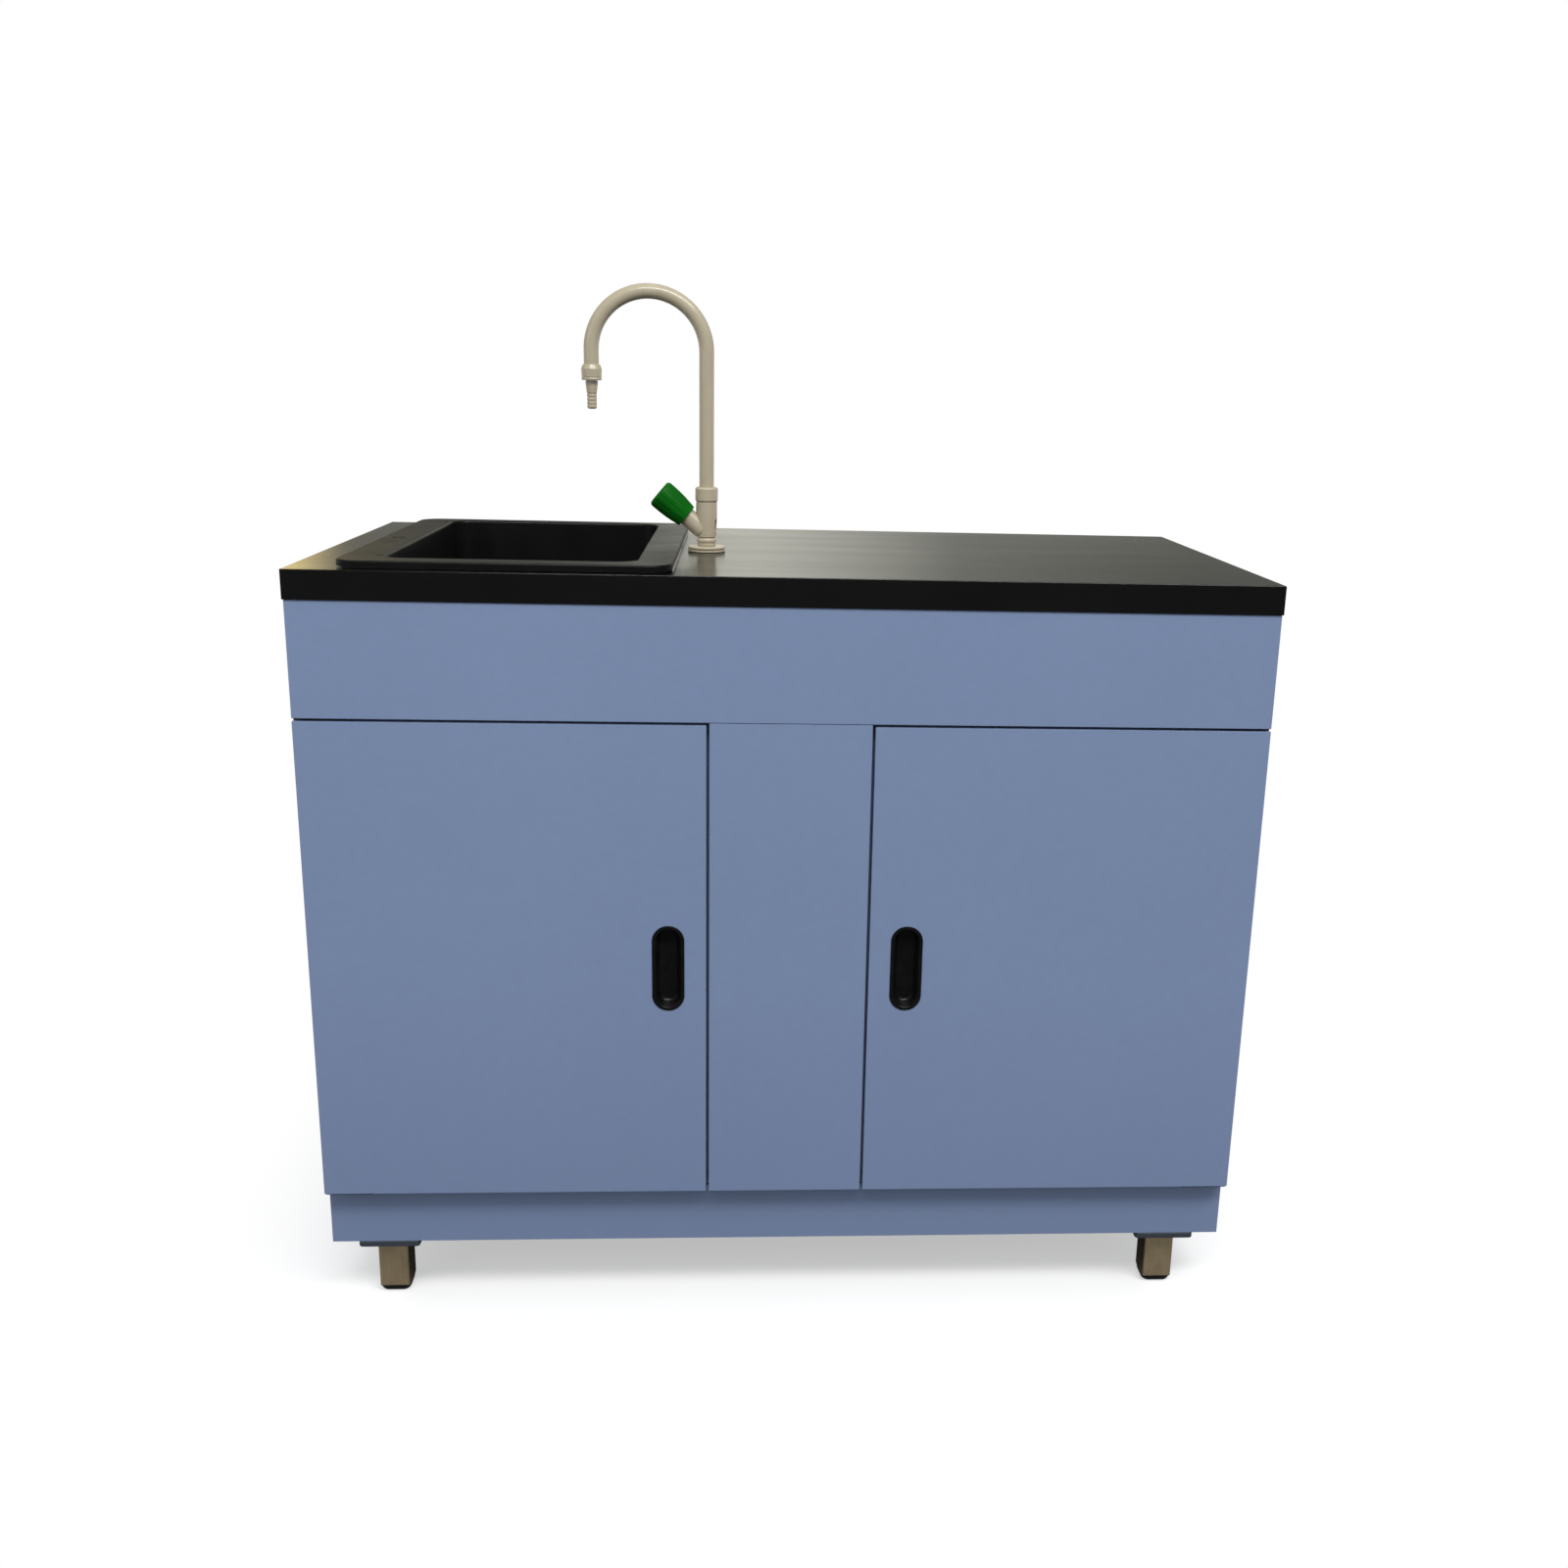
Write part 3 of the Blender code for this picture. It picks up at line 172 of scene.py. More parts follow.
class FinishColours(bpy.types.PropertyGroup):
    blue_laminate: colour("Blue laminate", "Boards of the cupboard", (0.176, 0.233, 0.372))
    black_worktop: colour("Black worktop", "Laminated worktop", (0.0036, 0.0036, 0.0035))
    bare_board: colour("Bare board", "Uncoated particle board", (0.420, 0.320, 0.205))
    black_sink: colour("Black sink", "Moulded sink and waste", (0.0034, 0.0034, 0.0035))
    grey_rubber: colour("Grey rubber", "Washers and seals", (0.055, 0.055, 0.056))
    white_pipe: colour("White pipe", "Trap and waste pipe", (0.640, 0.640, 0.615))
    cream_coat: colour("Cream coat", "Powder coat of the tap", (0.408, 0.356, 0.254))
    brass: colour("Brass", "Shank, nut and valve", (0.560, 0.400, 0.160))
    green_plastic: colour("Green plastic", "Valve knob", (0.0045, 0.1060, 0.0065))
    # painted reflection: over the steel's own grey, the warm brown tint stands for warm surroundings
    # reflected in the legs
    stainless: colour("Stainless", "Legs", (0.750, 0.592, 0.365))
    zinc_steel: colour("Zinc plate", "Strikes, catch poles and screws", (0.430, 0.440, 0.450))
    black_plastic: colour("Black plastic", "Pulls and feet", (0.0040, 0.0040, 0.0041))
    white_nylon: colour("White nylon", "Bushes and catches", (0.680, 0.680, 0.650))
    # painted shade: the pivot plates are coloured near black to show as the shade of the door gaps
    dark_steel: colour("Dark steel", "Blackened pivot plates", (0.012, 0.012, 0.0125))
    # the leg plates' dark bluish grey
    dark_primer: colour("Dark primer", "Plates of the legs", (0.034, 0.044, 0.058))
    sealant: colour("Sealant", "Bead beside the sink", (0.300, 0.300, 0.280))


class StageSettings(bpy.types.PropertyGroup):
    eye: FloatVectorProperty(
        name="Eye", description="Place of the camera", default=(-0.0547, -2.1632, 1.2172), size=3,
        subtype="TRANSLATION", unit="LENGTH")
    turn: FloatVectorProperty(
        name="Turn", description="Pitch, roll and yaw of the camera", size=3, subtype="EULER",
        default=(math.radians(-15.167), math.radians(-1.488), math.radians(-3.965)))
    lens: amount("Lens", "Focal length in millimetres", 35.85)
    shift: FloatVectorProperty(
        name="Shift", description="Shift of the picture", default=(-0.0424, 0.0097), size=2)
    key_power: amount("Key power", "Watts of the wide lamp above the front", 445.0, unit="POWER")
    fill_power: amount("Fill power", "Watts of the side lamp", 10.0, unit="POWER")
    ambient: amount("Ambient", "Level of the room's own light", 0.80)
    front: amount("Front", "Level that reflections show in front of the bench", 0.07)
    floor: colour("Floor", "Pale studio floor", (0.92, 0.92, 0.92))
    bounce: colour("Floor bounce", "Light that the floor throws back", (0.18, 0.18, 0.18))


class Value:
    """One socket of a node tree; arithmetic on it adds Math nodes."""

    def __init__(self, owner, socket):
        self.owner = owner
        self.socket = socket

    def count(self, operation, first, second):
        return self.owner.add("ShaderNodeMath", {"operation": operation}, {0: first, 1: second})

    def __add__(self, other):
        return self.count("ADD", self, other)

    def __rsub__(self, other):
        return self.count("SUBTRACT", other, self)

    def __mul__(self, other):
        return self.count("MULTIPLY", self, other)

    def __abs__(self):
        return self.count("ABSOLUTE", self, 0.0)


class Nodes:
    """A node tree that is filled by one method, and the patterns that finishes share."""

    def __init__(self, tree):
        self.tree = tree

    def add(self, kind, settings=None, inputs=None, output=0):
        node = self.tree.nodes.new(kind)
        for name, value in (settings or {}).items():
            setattr(node, name, value)
        self.feed(node, inputs or {})
        return Value(self, node.outputs[output])

    def feed(self, node, inputs):
        for key, value in inputs.items():
            if isinstance(value, Value):
                self.tree.links.new(value.socket, node.inputs[key])
            else:
                node.inputs[key].default_value = value

    def spread(self, value, low, high, first=0.0, last=1.0):
        """Map a value from one range to another, held at both ends."""
        return self.add("ShaderNodeMapRange", {"clamp": True}, {
            "Value": value, "From Min": low, "From Max": high, "To Min": first, "To Max": last})

    def axes(self, coordinates="Object"):
        """The three coordinates, each as a value."""
        spot = self.add("ShaderNodeTexCoord", output=coordinates)
        return [self.add("ShaderNodeSeparateXYZ", {}, {"Vector": spot}, axis) for axis in "XYZ"]

    def place(self, stretch):
        spot = self.add("ShaderNodeTexCoord", output="Object")
        return self.add("ShaderNodeMapping", {}, {"Vector": spot, "Scale": stretch})

    def grain(self, scale, detail=2.0, stretch=(1.0, 1.0, 1.0)):
        """Noise from 0 to 1, with a number of lumps per metre."""
        value = self.add("ShaderNodeTexNoise", {}, {
            "Vector": self.place(stretch), "Scale": scale, "Detail": detail, "Roughness": 0.55})
        return self.spread(value, 0.3, 0.7)

    def chips(self, scale):
        """Cells of a random tone each, as in particle board."""
        cell = self.add("ShaderNodeTexVoronoi", {"feature": "F1"}, {
            "Vector": self.place((1.0, 1.0, 1.0)), "Scale": scale}, "Color")
        return self.add("ShaderNodeSeparateColor", {}, {"Color": cell})

    def blend(self, share, first, second):
        """Mix two colours by a share from 0 to 1."""
        return self.add("ShaderNodeMix", {"data_type": "RGBA"}, {0: share, 6: first, 7: second}, 2)

    def vectors(self, operation, first, second=(0.0, 0.0, 0.0), output="Vector"):
        return self.add("ShaderNodeVectorMath", {"operation": operation}, {0: first, 1: second}, output)

    def coat(self, base, tone, shades, worn, gloss, relief, bump, others=None):
        """Inputs of a finish: a tone between two shades, roughness by wear, and a fine relief."""
        gain, least = gloss
        depth, strength = bump
        normal = self.add("ShaderNodeBump", {}, {
            "Height": relief, "Distance": depth, "Strength": strength})
        return {"Base Color": self.blend(tone, tint(base, shades[0]), tint(base, shades[1])),
                "Roughness": worn * gain + least, "Normal": normal, **(others or {})}


def tint(base, factor):
    """A colour made darker or lighter, by one factor or by one for each channel."""
    factors = factor if isinstance(factor, tuple) else (factor, factor, factor)
    return (*(part * share for part, share in zip(base, factors)), 1.0)


def blue_laminate(nodes, base):
    """Matt melamine: faint clouds, a fine pearl, wiped patches, and painted shade that darkens it towards
    the floor.
    """
    pearl = nodes.grain(2200.0, 1.0)
    tone = nodes.grain(2.2, 3.0) * 0.40 + nodes.grain(85.0) * 0.35 + pearl * 0.25
    wiped = nodes.grain(5.0, 3.0, (1.0, 1.0, 0.35))
    made = nodes.coat(base, tone, (0.95, 1.05), wiped, (0.12, 0.44), pearl, (0.00003, 0.35),
                      {"Specular IOR Level": 0.35})
    # painted shade: the colour darkens towards the floor, from 0.45 m down
    painted_floor_shade = nodes.spread(nodes.axes()[2], 0.10, 0.45, 0.5, 0.0)
    made["Base Color"] = nodes.blend(painted_floor_shade, made["Base Color"], tint(base, 0.82))
    return made


def black_worktop(nodes, base):
    """Black laminate with a mineral fleck, fine pores and wipe marks along the bench."""
    fleck = nodes.grain(1300.0, 1.0)
    tone = fleck * 0.6 + nodes.grain(9.0, 4.0) * 0.4
    wiped = nodes.grain(16.0, 3.0, (0.2, 1.0, 1.0))
    return nodes.coat(base, tone, (0.55, 1.6), wiped, (0.035, 0.18), fleck, (0.00002, 0.20),
                      {"Specular IOR Level": 0.56})


def bare_board(nodes, base):
    """Pressed wood chips."""
    chip = nodes.chips(420.0)
    tone = chip * 0.6 + nodes.grain(60.0, 3.0) * 0.4
    return nodes.coat(base, tone, (0.55, 1.25), chip, (0.1, 0.75), chip, (0.0002, 0.4))


def black_sink(nodes, base):
    """Moulded plastic with a soft sheen, faint moulding clouds and rub marks."""
    rubbed = nodes.grain(24.0, 4.0, (1.0, 1.0, 0.4))
    return nodes.coat(base, nodes.grain(12.0, 3.0), (0.8, 1.3), rubbed, (0.08, 0.37),
                      nodes.grain(300.0), (0.00002, 0.05),
                      {"Specular IOR Level": 0.24, "Coat Weight": 0.13, "Coat Roughness": 0.08})


def grey_rubber(nodes, base):
    """Dusty rubber."""
    dusty = nodes.grain(220.0, 3.0)
    return nodes.coat(base, dusty, (0.75, 1.3), dusty, (0.1, 0.75), dusty, (0.00008, 0.5))


def white_pipe(nodes, base):
    """Moulded pipe with a faint yellowing and water marks."""
    return nodes.coat(base, nodes.grain(18.0, 4.0), (1.03, (0.96, 0.92, 0.82)), nodes.grain(60.0, 3.0),
                      (0.14, 0.32), nodes.grain(700.0), (0.00004, 0.3))


def cream_coat(nodes, base):
    """Powder coat: orange peel, slight unevenness and a clear sheen."""
    cloud = nodes.grain(40.0, 3.0)
    return nodes.coat(base, cloud, (0.96, 1.04), cloud, (0.06, 0.28), nodes.grain(620.0), (0.00001, 0.03),
                      {"Coat Weight": 0.20, "Coat Roughness": 0.10})


def brass(nodes, base):
    """Stained brass with fine turning marks."""
    stain = nodes.grain(90.0, 4.0)
    turning = nodes.grain(900.0, 2.0, (1.0, 1.0, 0.1))
    return nodes.coat(base, stain, (0.65, 1.05), stain, (0.18, 0.26), turning, (0.00003, 0.3),
                      {"Metallic": 1.0})


def green_plastic(nodes, base):
    """Glossy moulded plastic with handling marks."""
    return nodes.coat(base, nodes.grain(30.0, 3.0), (0.85, 1.15), nodes.grain(120.0, 4.0), (0.14, 0.22),
                      nodes.grain(800.0), (0.00003, 0.20), {"Specular IOR Level": 0.06})


def stainless(nodes, base):
    """Tube brushed along its length, with stains and painted shade on its inner sides; the plate is a dark
    bluish grey.
    """
    streak = nodes.grain(1100.0, 3.0, (1.0, 1.0, 0.012))
    tone = streak * 0.5 + nodes.grain(45.0, 4.0) * 0.5
    made = nodes.coat(base, tone, (0.72, 1.18), streak, (0.14, 0.30), streak, (0.00003, 0.4))
    across, _, height = nodes.axes()
    # the plate on top of each leg takes a dark bluish grey, rougher and less metallic
    plate = nodes.spread(height, 0.0795, 0.0797)
    # painted shade: the tubes' sides that face in under the bench are darkened nearly to black
    inner = nodes.spread(abs(across), 0.5052, 0.5068, 0.75, 0.0)
    steel = nodes.blend(inner, made["Base Color"], tint(base, 0.08))
    plate_tone = tint(bpy.context.scene.bench_finishes.dark_primer, 1.0)
    made["Base Color"] = nodes.blend(plate, steel, plate_tone)
    made["Roughness"] = made["Roughness"] + plate * 0.2
    made["Metallic"] = 1.0 - plate * 0.9
    return made


def zinc_steel(nodes, base):
    """Plated steel with a fine spangle."""
    tone = nodes.chips(900.0) * 0.5 + nodes.grain(150.0, 3.0) * 0.5
    return nodes.coat(base, tone, (0.8, 1.12), tone, (0.18, 0.32), tone, (0.00003, 0.3), {"Metallic": 1.0})


def dark_steel(nodes, base):
    """Steel coloured near black as painted shade, so the pivot plates show as the shade of the door gaps;
    rubbed in places.
    """
    rubbed = nodes.grain(140.0, 4.0)
    return nodes.coat(base, rubbed, (0.7, 1.5), rubbed, (0.15, 0.45), rubbed, (0.00003, 0.3),
                      {"Metallic": 0.6})


def black_plastic(nodes, base):
    """Textured moulded plastic, a little dusty."""
    dust = nodes.grain(70.0, 4.0)
    return nodes.coat(base, dust, (0.8, 1.5), dust, (0.12, 0.24), nodes.grain(1700.0), (0.00003, 0.25),
                      {"Specular IOR Level": 0.30})


def white_nylon(nodes, base):
    """Moulded nylon with faint flow marks."""
    flow = nodes.grain(130.0, 3.0)
    return nodes.coat(base, flow, (0.94, 1.04), flow, (0.12, 0.40), nodes.grain(900.0), (0.00004, 0.3))


def sealant(nodes, base):
    """Smeared sealant, uneven in tone."""
    smear = nodes.grain(260.0, 4.0)
    return nodes.coat(base, smear, (0.55, 1.35), smear, (0.2, 0.35), smear, (0.0003, 0.6))


MAKERS = {maker.__name__: maker for maker in (
    blue_laminate, black_worktop, bare_board, black_sink, grey_rubber, white_pipe, cream_coat, brass,
    green_plastic, stainless, zinc_steel, dark_steel, black_plastic, white_nylon, sealant)}


def finish(name):
    """The material of a finish, made at its first use."""
    label = name + "_finish"
    made = bpy.data.materials.get(label)
    if made is None:
        made = bpy.data.materials.new(label)
        made.use_nodes = True
        nodes = Nodes(made.node_tree)
        base = tuple(getattr(bpy.context.scene.bench_finishes, name))
        nodes.feed(made.node_tree.nodes["Principled BSDF"], MAKERS[name](nodes, base))
    return made


def meshed(name, bm):
    """A mesh of a shape, which is used up."""
    mesh = bpy.data.meshes.new(name)
    bm.to_mesh(mesh)
    bm.free()
    return mesh


def linked(name, data):
    """A new object in the scene."""
    made = bpy.data.objects.new(name, data)
    bpy.context.scene.collection.objects.link(made)
    return made


def keep(name, bm, *nodes, body=None, coat=None, angle=32.0):
    """Make a piece of a shape; body, slot and finish come from the solid it stands for."""
    bmesh.ops.remove_doubles(bm, verts=bm.verts, dist=1e-6)
    bmesh.ops.recalc_face_normals(bm, faces=bm.faces)
    mesh = meshed(name, bm)
    mesh.shade_smooth()
    mesh.set_sharp_from_angle(angle=math.radians(angle))
    slot = SLOTS[nodes[0]] if nodes else coat
    mesh.materials.append(finish(coat or slot))
    piece = linked(name, mesh)
    flat = piece.modifiers.new("flat_faces", "WEIGHTED_NORMAL")
    flat.mode = "FACE_AREA"
    flat.keep_sharp = True
    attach(piece, body or frame["nodes"][nodes[0]]["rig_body"])
    slot in SLOTS.values()
    if nodes:
        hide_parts(*nodes)


def recoat(*nodes):
    """Solids that are right as they are get their finish."""
    for node in nodes:
        solid = frame["nodes"][node]
        solid.data.materials.clear()
        solid.data.materials.append(finish(SLOTS[node]))


class Solid:
    """The box of a solid: corners, middle, half its width, its depth and its height."""

    def __init__(self, node):
        self.node = node
        self.low, self.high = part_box(node)
        self.middle = (self.low + self.high) / 2
        self.wide = (self.high.x - self.low.x) / 2
        self.deep = self.high.y - self.low.y
        self.tall = self.high.z - self.low.z


def round_edges(bm, radius, segments=2):
    """Round every edge of a shape."""
    bmesh.ops.recalc_face_normals(bm, faces=bm.faces)
    bmesh.ops.bevel(bm, geom=list(bm.edges), offset=radius, offset_type="OFFSET", affect="EDGES",
                    segments=segments, profile=0.5, material=-1, clamp_overlap=True)


def board(low, high, arris, segments=2):
    """A slab between two corners with rounded edges."""
    low, high = Vector(low), Vector(high)
    bm = bmesh.new()
    fit = Matrix.Translation((low + high) / 2) @ Matrix.Diagonal((*(high - low), 1.0))
    bmesh.ops.create_cube(bm, size=1.0, matrix=fit)
    round_edges(bm, arris, segments)
    return bm


def plain_boards(arris, names):
    """Pieces that are a board with rounded edges, by the solids they stand for."""
    for name, node in names.items():
        keep(name, board(*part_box(node), arris), node)


def rod(start, end, radius, steps=40):
    """A round bar from one point to another."""
    bm = bmesh.new()
    along = Vector(end) - Vector(start)
    bmesh.ops.create_cone(bm, cap_ends=True, segments=steps, radius1=radius, radius2=radius,
                          depth=along.length)
    return placed(bm, Vector(start) + along / 2, along)


def joined(*shapes):
    """Several separate shapes in one bmesh."""
    whole = bmesh.new()
    for shape in shapes:
        mesh = meshed("part", shape)
        whole.from_mesh(mesh)
        bpy.data.meshes.remove(mesh)
    return whole


def cut(shape, tool, operation="DIFFERENCE"):
    """Cut one shape by another, or join them, with an exact Boolean."""
    pair = []
    for name, bm in (("shape", shape), ("tool", tool)):
        bmesh.ops.recalc_face_normals(bm, faces=bm.faces)
        pair.append(linked(name, meshed(name, bm)))
    modifier = pair[0].modifiers.new("cut", "BOOLEAN")
    modifier.object = pair[1]
    modifier.operation = operation
    modifier.solver = "EXACT"
    result = bmesh.new()
    result.from_object(pair[0], bpy.context.evaluated_depsgraph_get())
    for made in pair:
        mesh = made.data
        bpy.data.objects.remove(made)
        bpy.data.meshes.remove(mesh)
    if not result.faces:
        raise RuntimeError("a cut left nothing")
    return result


def arc(centre, radius, start, end, steps=5):
    """Points of a flat arc between two angles in degrees."""
    points = []
    for step in range(steps + 1):
        angle = math.radians(start + (end - start) * step / steps)
        points.append((centre[0] + radius * math.cos(angle), centre[1] + radius * math.sin(angle)))
    return points


def soften(points, radius, steps=3):
    """Round the corners of a flat outline; one that starts and ends on the axis stays open."""
    is_open = points[0][0] == 0.0 and points[-1][0] == 0.0
    out = []
    for i, corner in enumerate(points):
        if is_open and i in (0, len(points) - 1):
            out.append(corner)
            continue
        here = Vector(corner)
        back = Vector(points[i - 1]) - here
        fore = Vector(points[(i + 1) % len(points)]) - here
        reach = min(radius, back.length * 0.45, fore.length * 0.45)
        start = here + back.normalized() * reach
        end = here + fore.normalized() * reach
        for step in range(steps + 1):
            share = step / steps
            out.append(tuple(start.lerp(here, share).lerp(here.lerp(end, share), share)))
    return out


def turned(profile, centre=(0.0, 0.0), steps=56, foot=0.0):
    """Spin a profile of (radius, height over the foot) round the vertical through a centre."""
    bm = bmesh.new()
    x, y = centre
    verts = [bm.verts.new((x + radius, y, foot + z)) for radius, z in profile]
    edges = [bm.edges.new(pair) for pair in zip(verts, verts[1:])]
    if profile[0][0] > 0.0:
        edges.append(bm.edges.new((verts[-1], verts[0])))
    bmesh.ops.spin(bm, geom=verts + edges, cent=(x, y, 0.0), axis=UP, angle=math.tau,
                   steps=steps, use_merge=True)
    bmesh.ops.remove_doubles(bm, verts=bm.verts, dist=1e-7)
    return bm


def lathe(name, solid, profile, soft, centre, steps, angle=32.0, bends=3):
    """Keep a piece that is turned from a profile over the solid's foot, with softened corners."""
    shape = turned(soften(profile, soft, bends), centre, steps, solid.low.z)
    keep(name, shape, solid.node, angle=angle)


def thread(radius, start, end, pitch, depth):
    """Ridges of a thread as a profile, from one height down to another."""
    points = []
    while start > end + pitch:
        points += [(radius, start), (radius - depth, start - pitch / 2)]
        start -= pitch
    return points


def placed(bm, spot, along):
    """Turn a shape's own Z to a direction and move it to a spot."""
    turn = along.to_track_quat("Z", "Y").to_matrix().to_4x4()
    bmesh.ops.transform(bm, matrix=Matrix.Translation(spot) @ turn, verts=bm.verts)
    return bm


def round_rect(centre, half, corner, z, steps=10):
    """Points of a rectangle with round corners, at a height."""
    points = []
    for quarter, (sign_x, sign_y) in enumerate(((1, 1), (-1, 1), (-1, -1), (1, -1))):
        hub = (centre[0] + sign_x * (half[0] - corner), centre[1] + sign_y * (half[1] - corner))
        flat = arc(hub, corner, 90.0 * quarter, 90.0 * (quarter + 1), steps)
        points.extend((x, y, z) for x, y in flat)
    return points


def capsule(middle, width, tall, y, steps=20):
    """Upright outline with round ends, in the plane of the front at a depth."""
    reach = (tall - width) / 2
    ends = (arc((middle.x, middle.z + reach), width / 2, 0.0, 180.0, steps)
            + arc((middle.x, middle.z - reach), width / 2, 180.0, 360.0, steps))
    return [(x, y, z) for x, z in ends]


def skin(outlines, ring=False):
    """Draw an outline on through a row of others; the ends are filled, or met in a ring."""
    bm = bmesh.new()
    row = [bm.verts.new(point) for point in outlines[0]]
    edges = [bm.edges.new((row[i - 1], row[i])) for i in range(len(row))]
    first = list(edges)
    for outline in outlines[1:] + (outlines[:1] if ring else []):
        grown = bmesh.ops.extrude_edge_only(bm, edges=edges)["geom"]
        fresh = {item for item in grown if isinstance(item, bmesh.types.BMVert)}
        row = [next(edge.other_vert(vert) for edge in vert.link_edges
                    if edge.other_vert(vert) in fresh) for vert in row]
        for vert, point in zip(row, outline):
            vert.co = point
        edges = [bm.edges.get((row[i - 1], row[i])) for i in range(len(row))]
    if ring:
        bmesh.ops.remove_doubles(bm, verts=bm.verts, dist=1e-7)
    else:
        bmesh.ops.edgeloop_fill(bm, edges=first)
        bmesh.ops.edgeloop_fill(bm, edges=edges)
    return bm


def stacked(rows, centre, steps):
    """A form of square outlines, by half width, corner radius and height."""
    return skin([round_rect(centre, (half, half), corner, z, steps) for half, corner, z in rows])


def cross(long, thin, low, high, arris, segments=1):
    """The two bars of a cross, between two heights."""
    return [board((-x, -y, low), (x, y, high), arris, segments) for x, y in ((long, thin), (thin, long))]


def pan_screw(spot, along, radius):
    """A pan-head screw with a cross recess."""
    tall = radius * 0.62
    waist = tall * 0.45
    long, thin = radius * 0.62, radius * 0.13
    head = turned(soften([(0.0, 0.0), (radius, 0.0), (radius * 0.96, waist), (radius * 0.55, tall),
                          (0.0, tall)], radius * 0.25), steps=28)
    for bar in cross(long, thin, waist, tall * 2, thin * 0.2):
        head = cut(head, bar)
    return placed(head, spot, along)


def flush_screw_cutter(spot, along, radius):
    """The ring and cross that a countersunk screw leaves in a plate's face."""
    depth = radius * 0.16
    outer = radius * 1.07
    ring = turned([(radius, -depth), (outer, -depth), (outer, depth), (radius, depth)], steps=28)
    bars = cross(radius * 0.6, radius * 0.12, -2 * depth, depth, 0.00005)
    return placed(joined(ring, cut(*bars, "UNION")), spot, along)


class BENCH_OT_front_boards(bpy.types.Operator):
    """Fascia, fixed middle board and plinth, with rounded edge bands"""
    bl_idname = "bench.front_boards"
    bl_label = "Front boards"

    def execute(self, context):
        plain_boards(context.scene.bench_boards.arris, {
            "front_fascia": "fascia_panel", "middle_board": "centre_panel",
            "plinth_front": "plinth_board"})
        return {"FINISHED"}


def side_panel(panel, name, arris):
    """A side is stepped back behind the door and notched for the plinth."""
    low, high = panel.low, panel.high
    floor = Solid("bottom_panel").low
    rail = Solid("fascia_panel").low.z
    plinth = Solid("front_batten").low.y
    outline = [(high.y, low.z), (high.y, high.z), (low.y, high.z), (low.y, rail), (floor.y, rail),
               (floor.y, floor.z), (plinth, floor.z), (plinth, low.z)]
    bm = skin([[(x, y, z) for y, z in outline] for x in (low.x, high.x)])
    round_edges(bm, arris)
    keep(name, bm, panel.node)


class BENCH_OT_carcass(bpy.types.Operator):
    """Sides, floor, back, partitions, rail and battens of the cupboard"""
    bl_idname = "bench.carcass"
    bl_label = "Carcass"

    def execute(self, context):
        sizes = context.scene.bench_boards
        plain_boards(sizes.arris, {
            "cupboard_floor": "bottom_panel", "top_rail": "head_rail", "left_divider": "left_partition",
            "right_divider": "right_partition", "front_leg_rail": "front_batten",
            "back_leg_rail": "back_batten"})
        back = Solid("back_panel")
        pipe = Solid("outlet_pipe").middle
        hole = rod((pipe.x, back.low.y - PAST, pipe.z), (pipe.x, back.high.y + PAST, pipe.z),
                   sizes.pipe_hole)
        keep("cupboard_back", cut(board(back.low, back.high, sizes.arris), hole), back.node)
        for side in SIDES:
            side_panel(Solid(side + "_side_panel"), side + "_cheek", sizes.arris)
        return {"FINISHED"}


class BENCH_OT_doors(bpy.types.Operator):
    """Overlay doors with the pull's hole and the pivot sockets cut"""
    bl_idname = "bench.doors"
    bl_label = "Doors"

    def execute(self, context):
        slim = 2 * (context.scene.bench_pulls.lip - PLAY)
        snug = 0.0002
        for side in SIDES:
            leaf = Solid(side + "_door_panel")
            cup = Solid(side + "_handle_cup")
            door = board(leaf.low, leaf.high, context.scene.bench_boards.arris)
            door = cut(door, skin([capsule(cup.middle, 2 * cup.wide - slim, cup.tall - slim, y)
                                   for y in (leaf.low.y - PAST, leaf.high.y + PAST)]))
            for level, out in (("bottom", -1), ("top", 1)):
                bush = Solid("%s_%s_bush" % (side, level))
                start = bush.middle - UP * out * (bush.tall / 2 + PLAY)
                socket = rod(start, bush.middle + UP * out * bush.tall, bush.wide + snug, 32)
                door = cut(door, socket)
            keep(side + "_door_leaf", door, leaf.node)
        return {"FINISHED"}


class BENCH_OT_pulls(bpy.types.Operator):
    """Flush pulls: a round-ended cup with a flange"""
    bl_idname = "bench.pulls"
    bl_label = "Pulls"

    def execute(self, context):
        sizes = context.scene.bench_pulls
        rim = sizes.proud * 0.8
        mouth = sizes.lip + sizes.wall
        for side in SIDES:
            cup = Solid(side + "_handle_cup")
            front = cup.low.y
            seat = front + sizes.proud - PLAY
            floor = cup.high.y - sizes.wall
            profile = [(sizes.lip, cup.high.y), (sizes.lip, seat), (0.0, seat)]
            profile += arc((rim, front + rim), rim, 180.0, 270.0)
            profile += arc((mouth - sizes.ease, front + sizes.ease), sizes.ease, 270.0, 360.0)
            profile += arc((mouth + sizes.draft + sizes.sweep, floor - sizes.sweep), sizes.sweep,
                           180.0, 90.0, 8)
            shape = skin([capsule(cup.middle, 2 * (cup.wide - shrink), cup.tall - 2 * shrink, y)
                          for shrink, y in profile])
            keep(side + "_pull", shape, cup.node, angle=40.0)
        return {"FINISHED"}


class BENCH_OT_worktop(bpy.types.Operator):
    """Black worktop with the sink's cut-out and the tap's hole"""
    bl_idname = "bench.worktop"
    bl_label = "Worktop"

    def execute(self, context):
        sizes = context.scene.bench_boards
        sink = Basin(context.scene.bench_sink)
        grow = sink.sizes.wall + sizes.cutout_clearance
        low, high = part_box("worktop")
        under, over = low.z - PAST, high.z + PAST
        top = board(low, high, sizes.worktop_arris, 3)
        top = cut(top, skin([sink.bowl(grow, z) for z in (under, over)]))
        top = cut(top, rod((*TAP_AXIS, under), (*TAP_AXIS, over), sizes.tap_hole))
        keep("bench_top", top, "worktop")
        return {"FINISHED"}


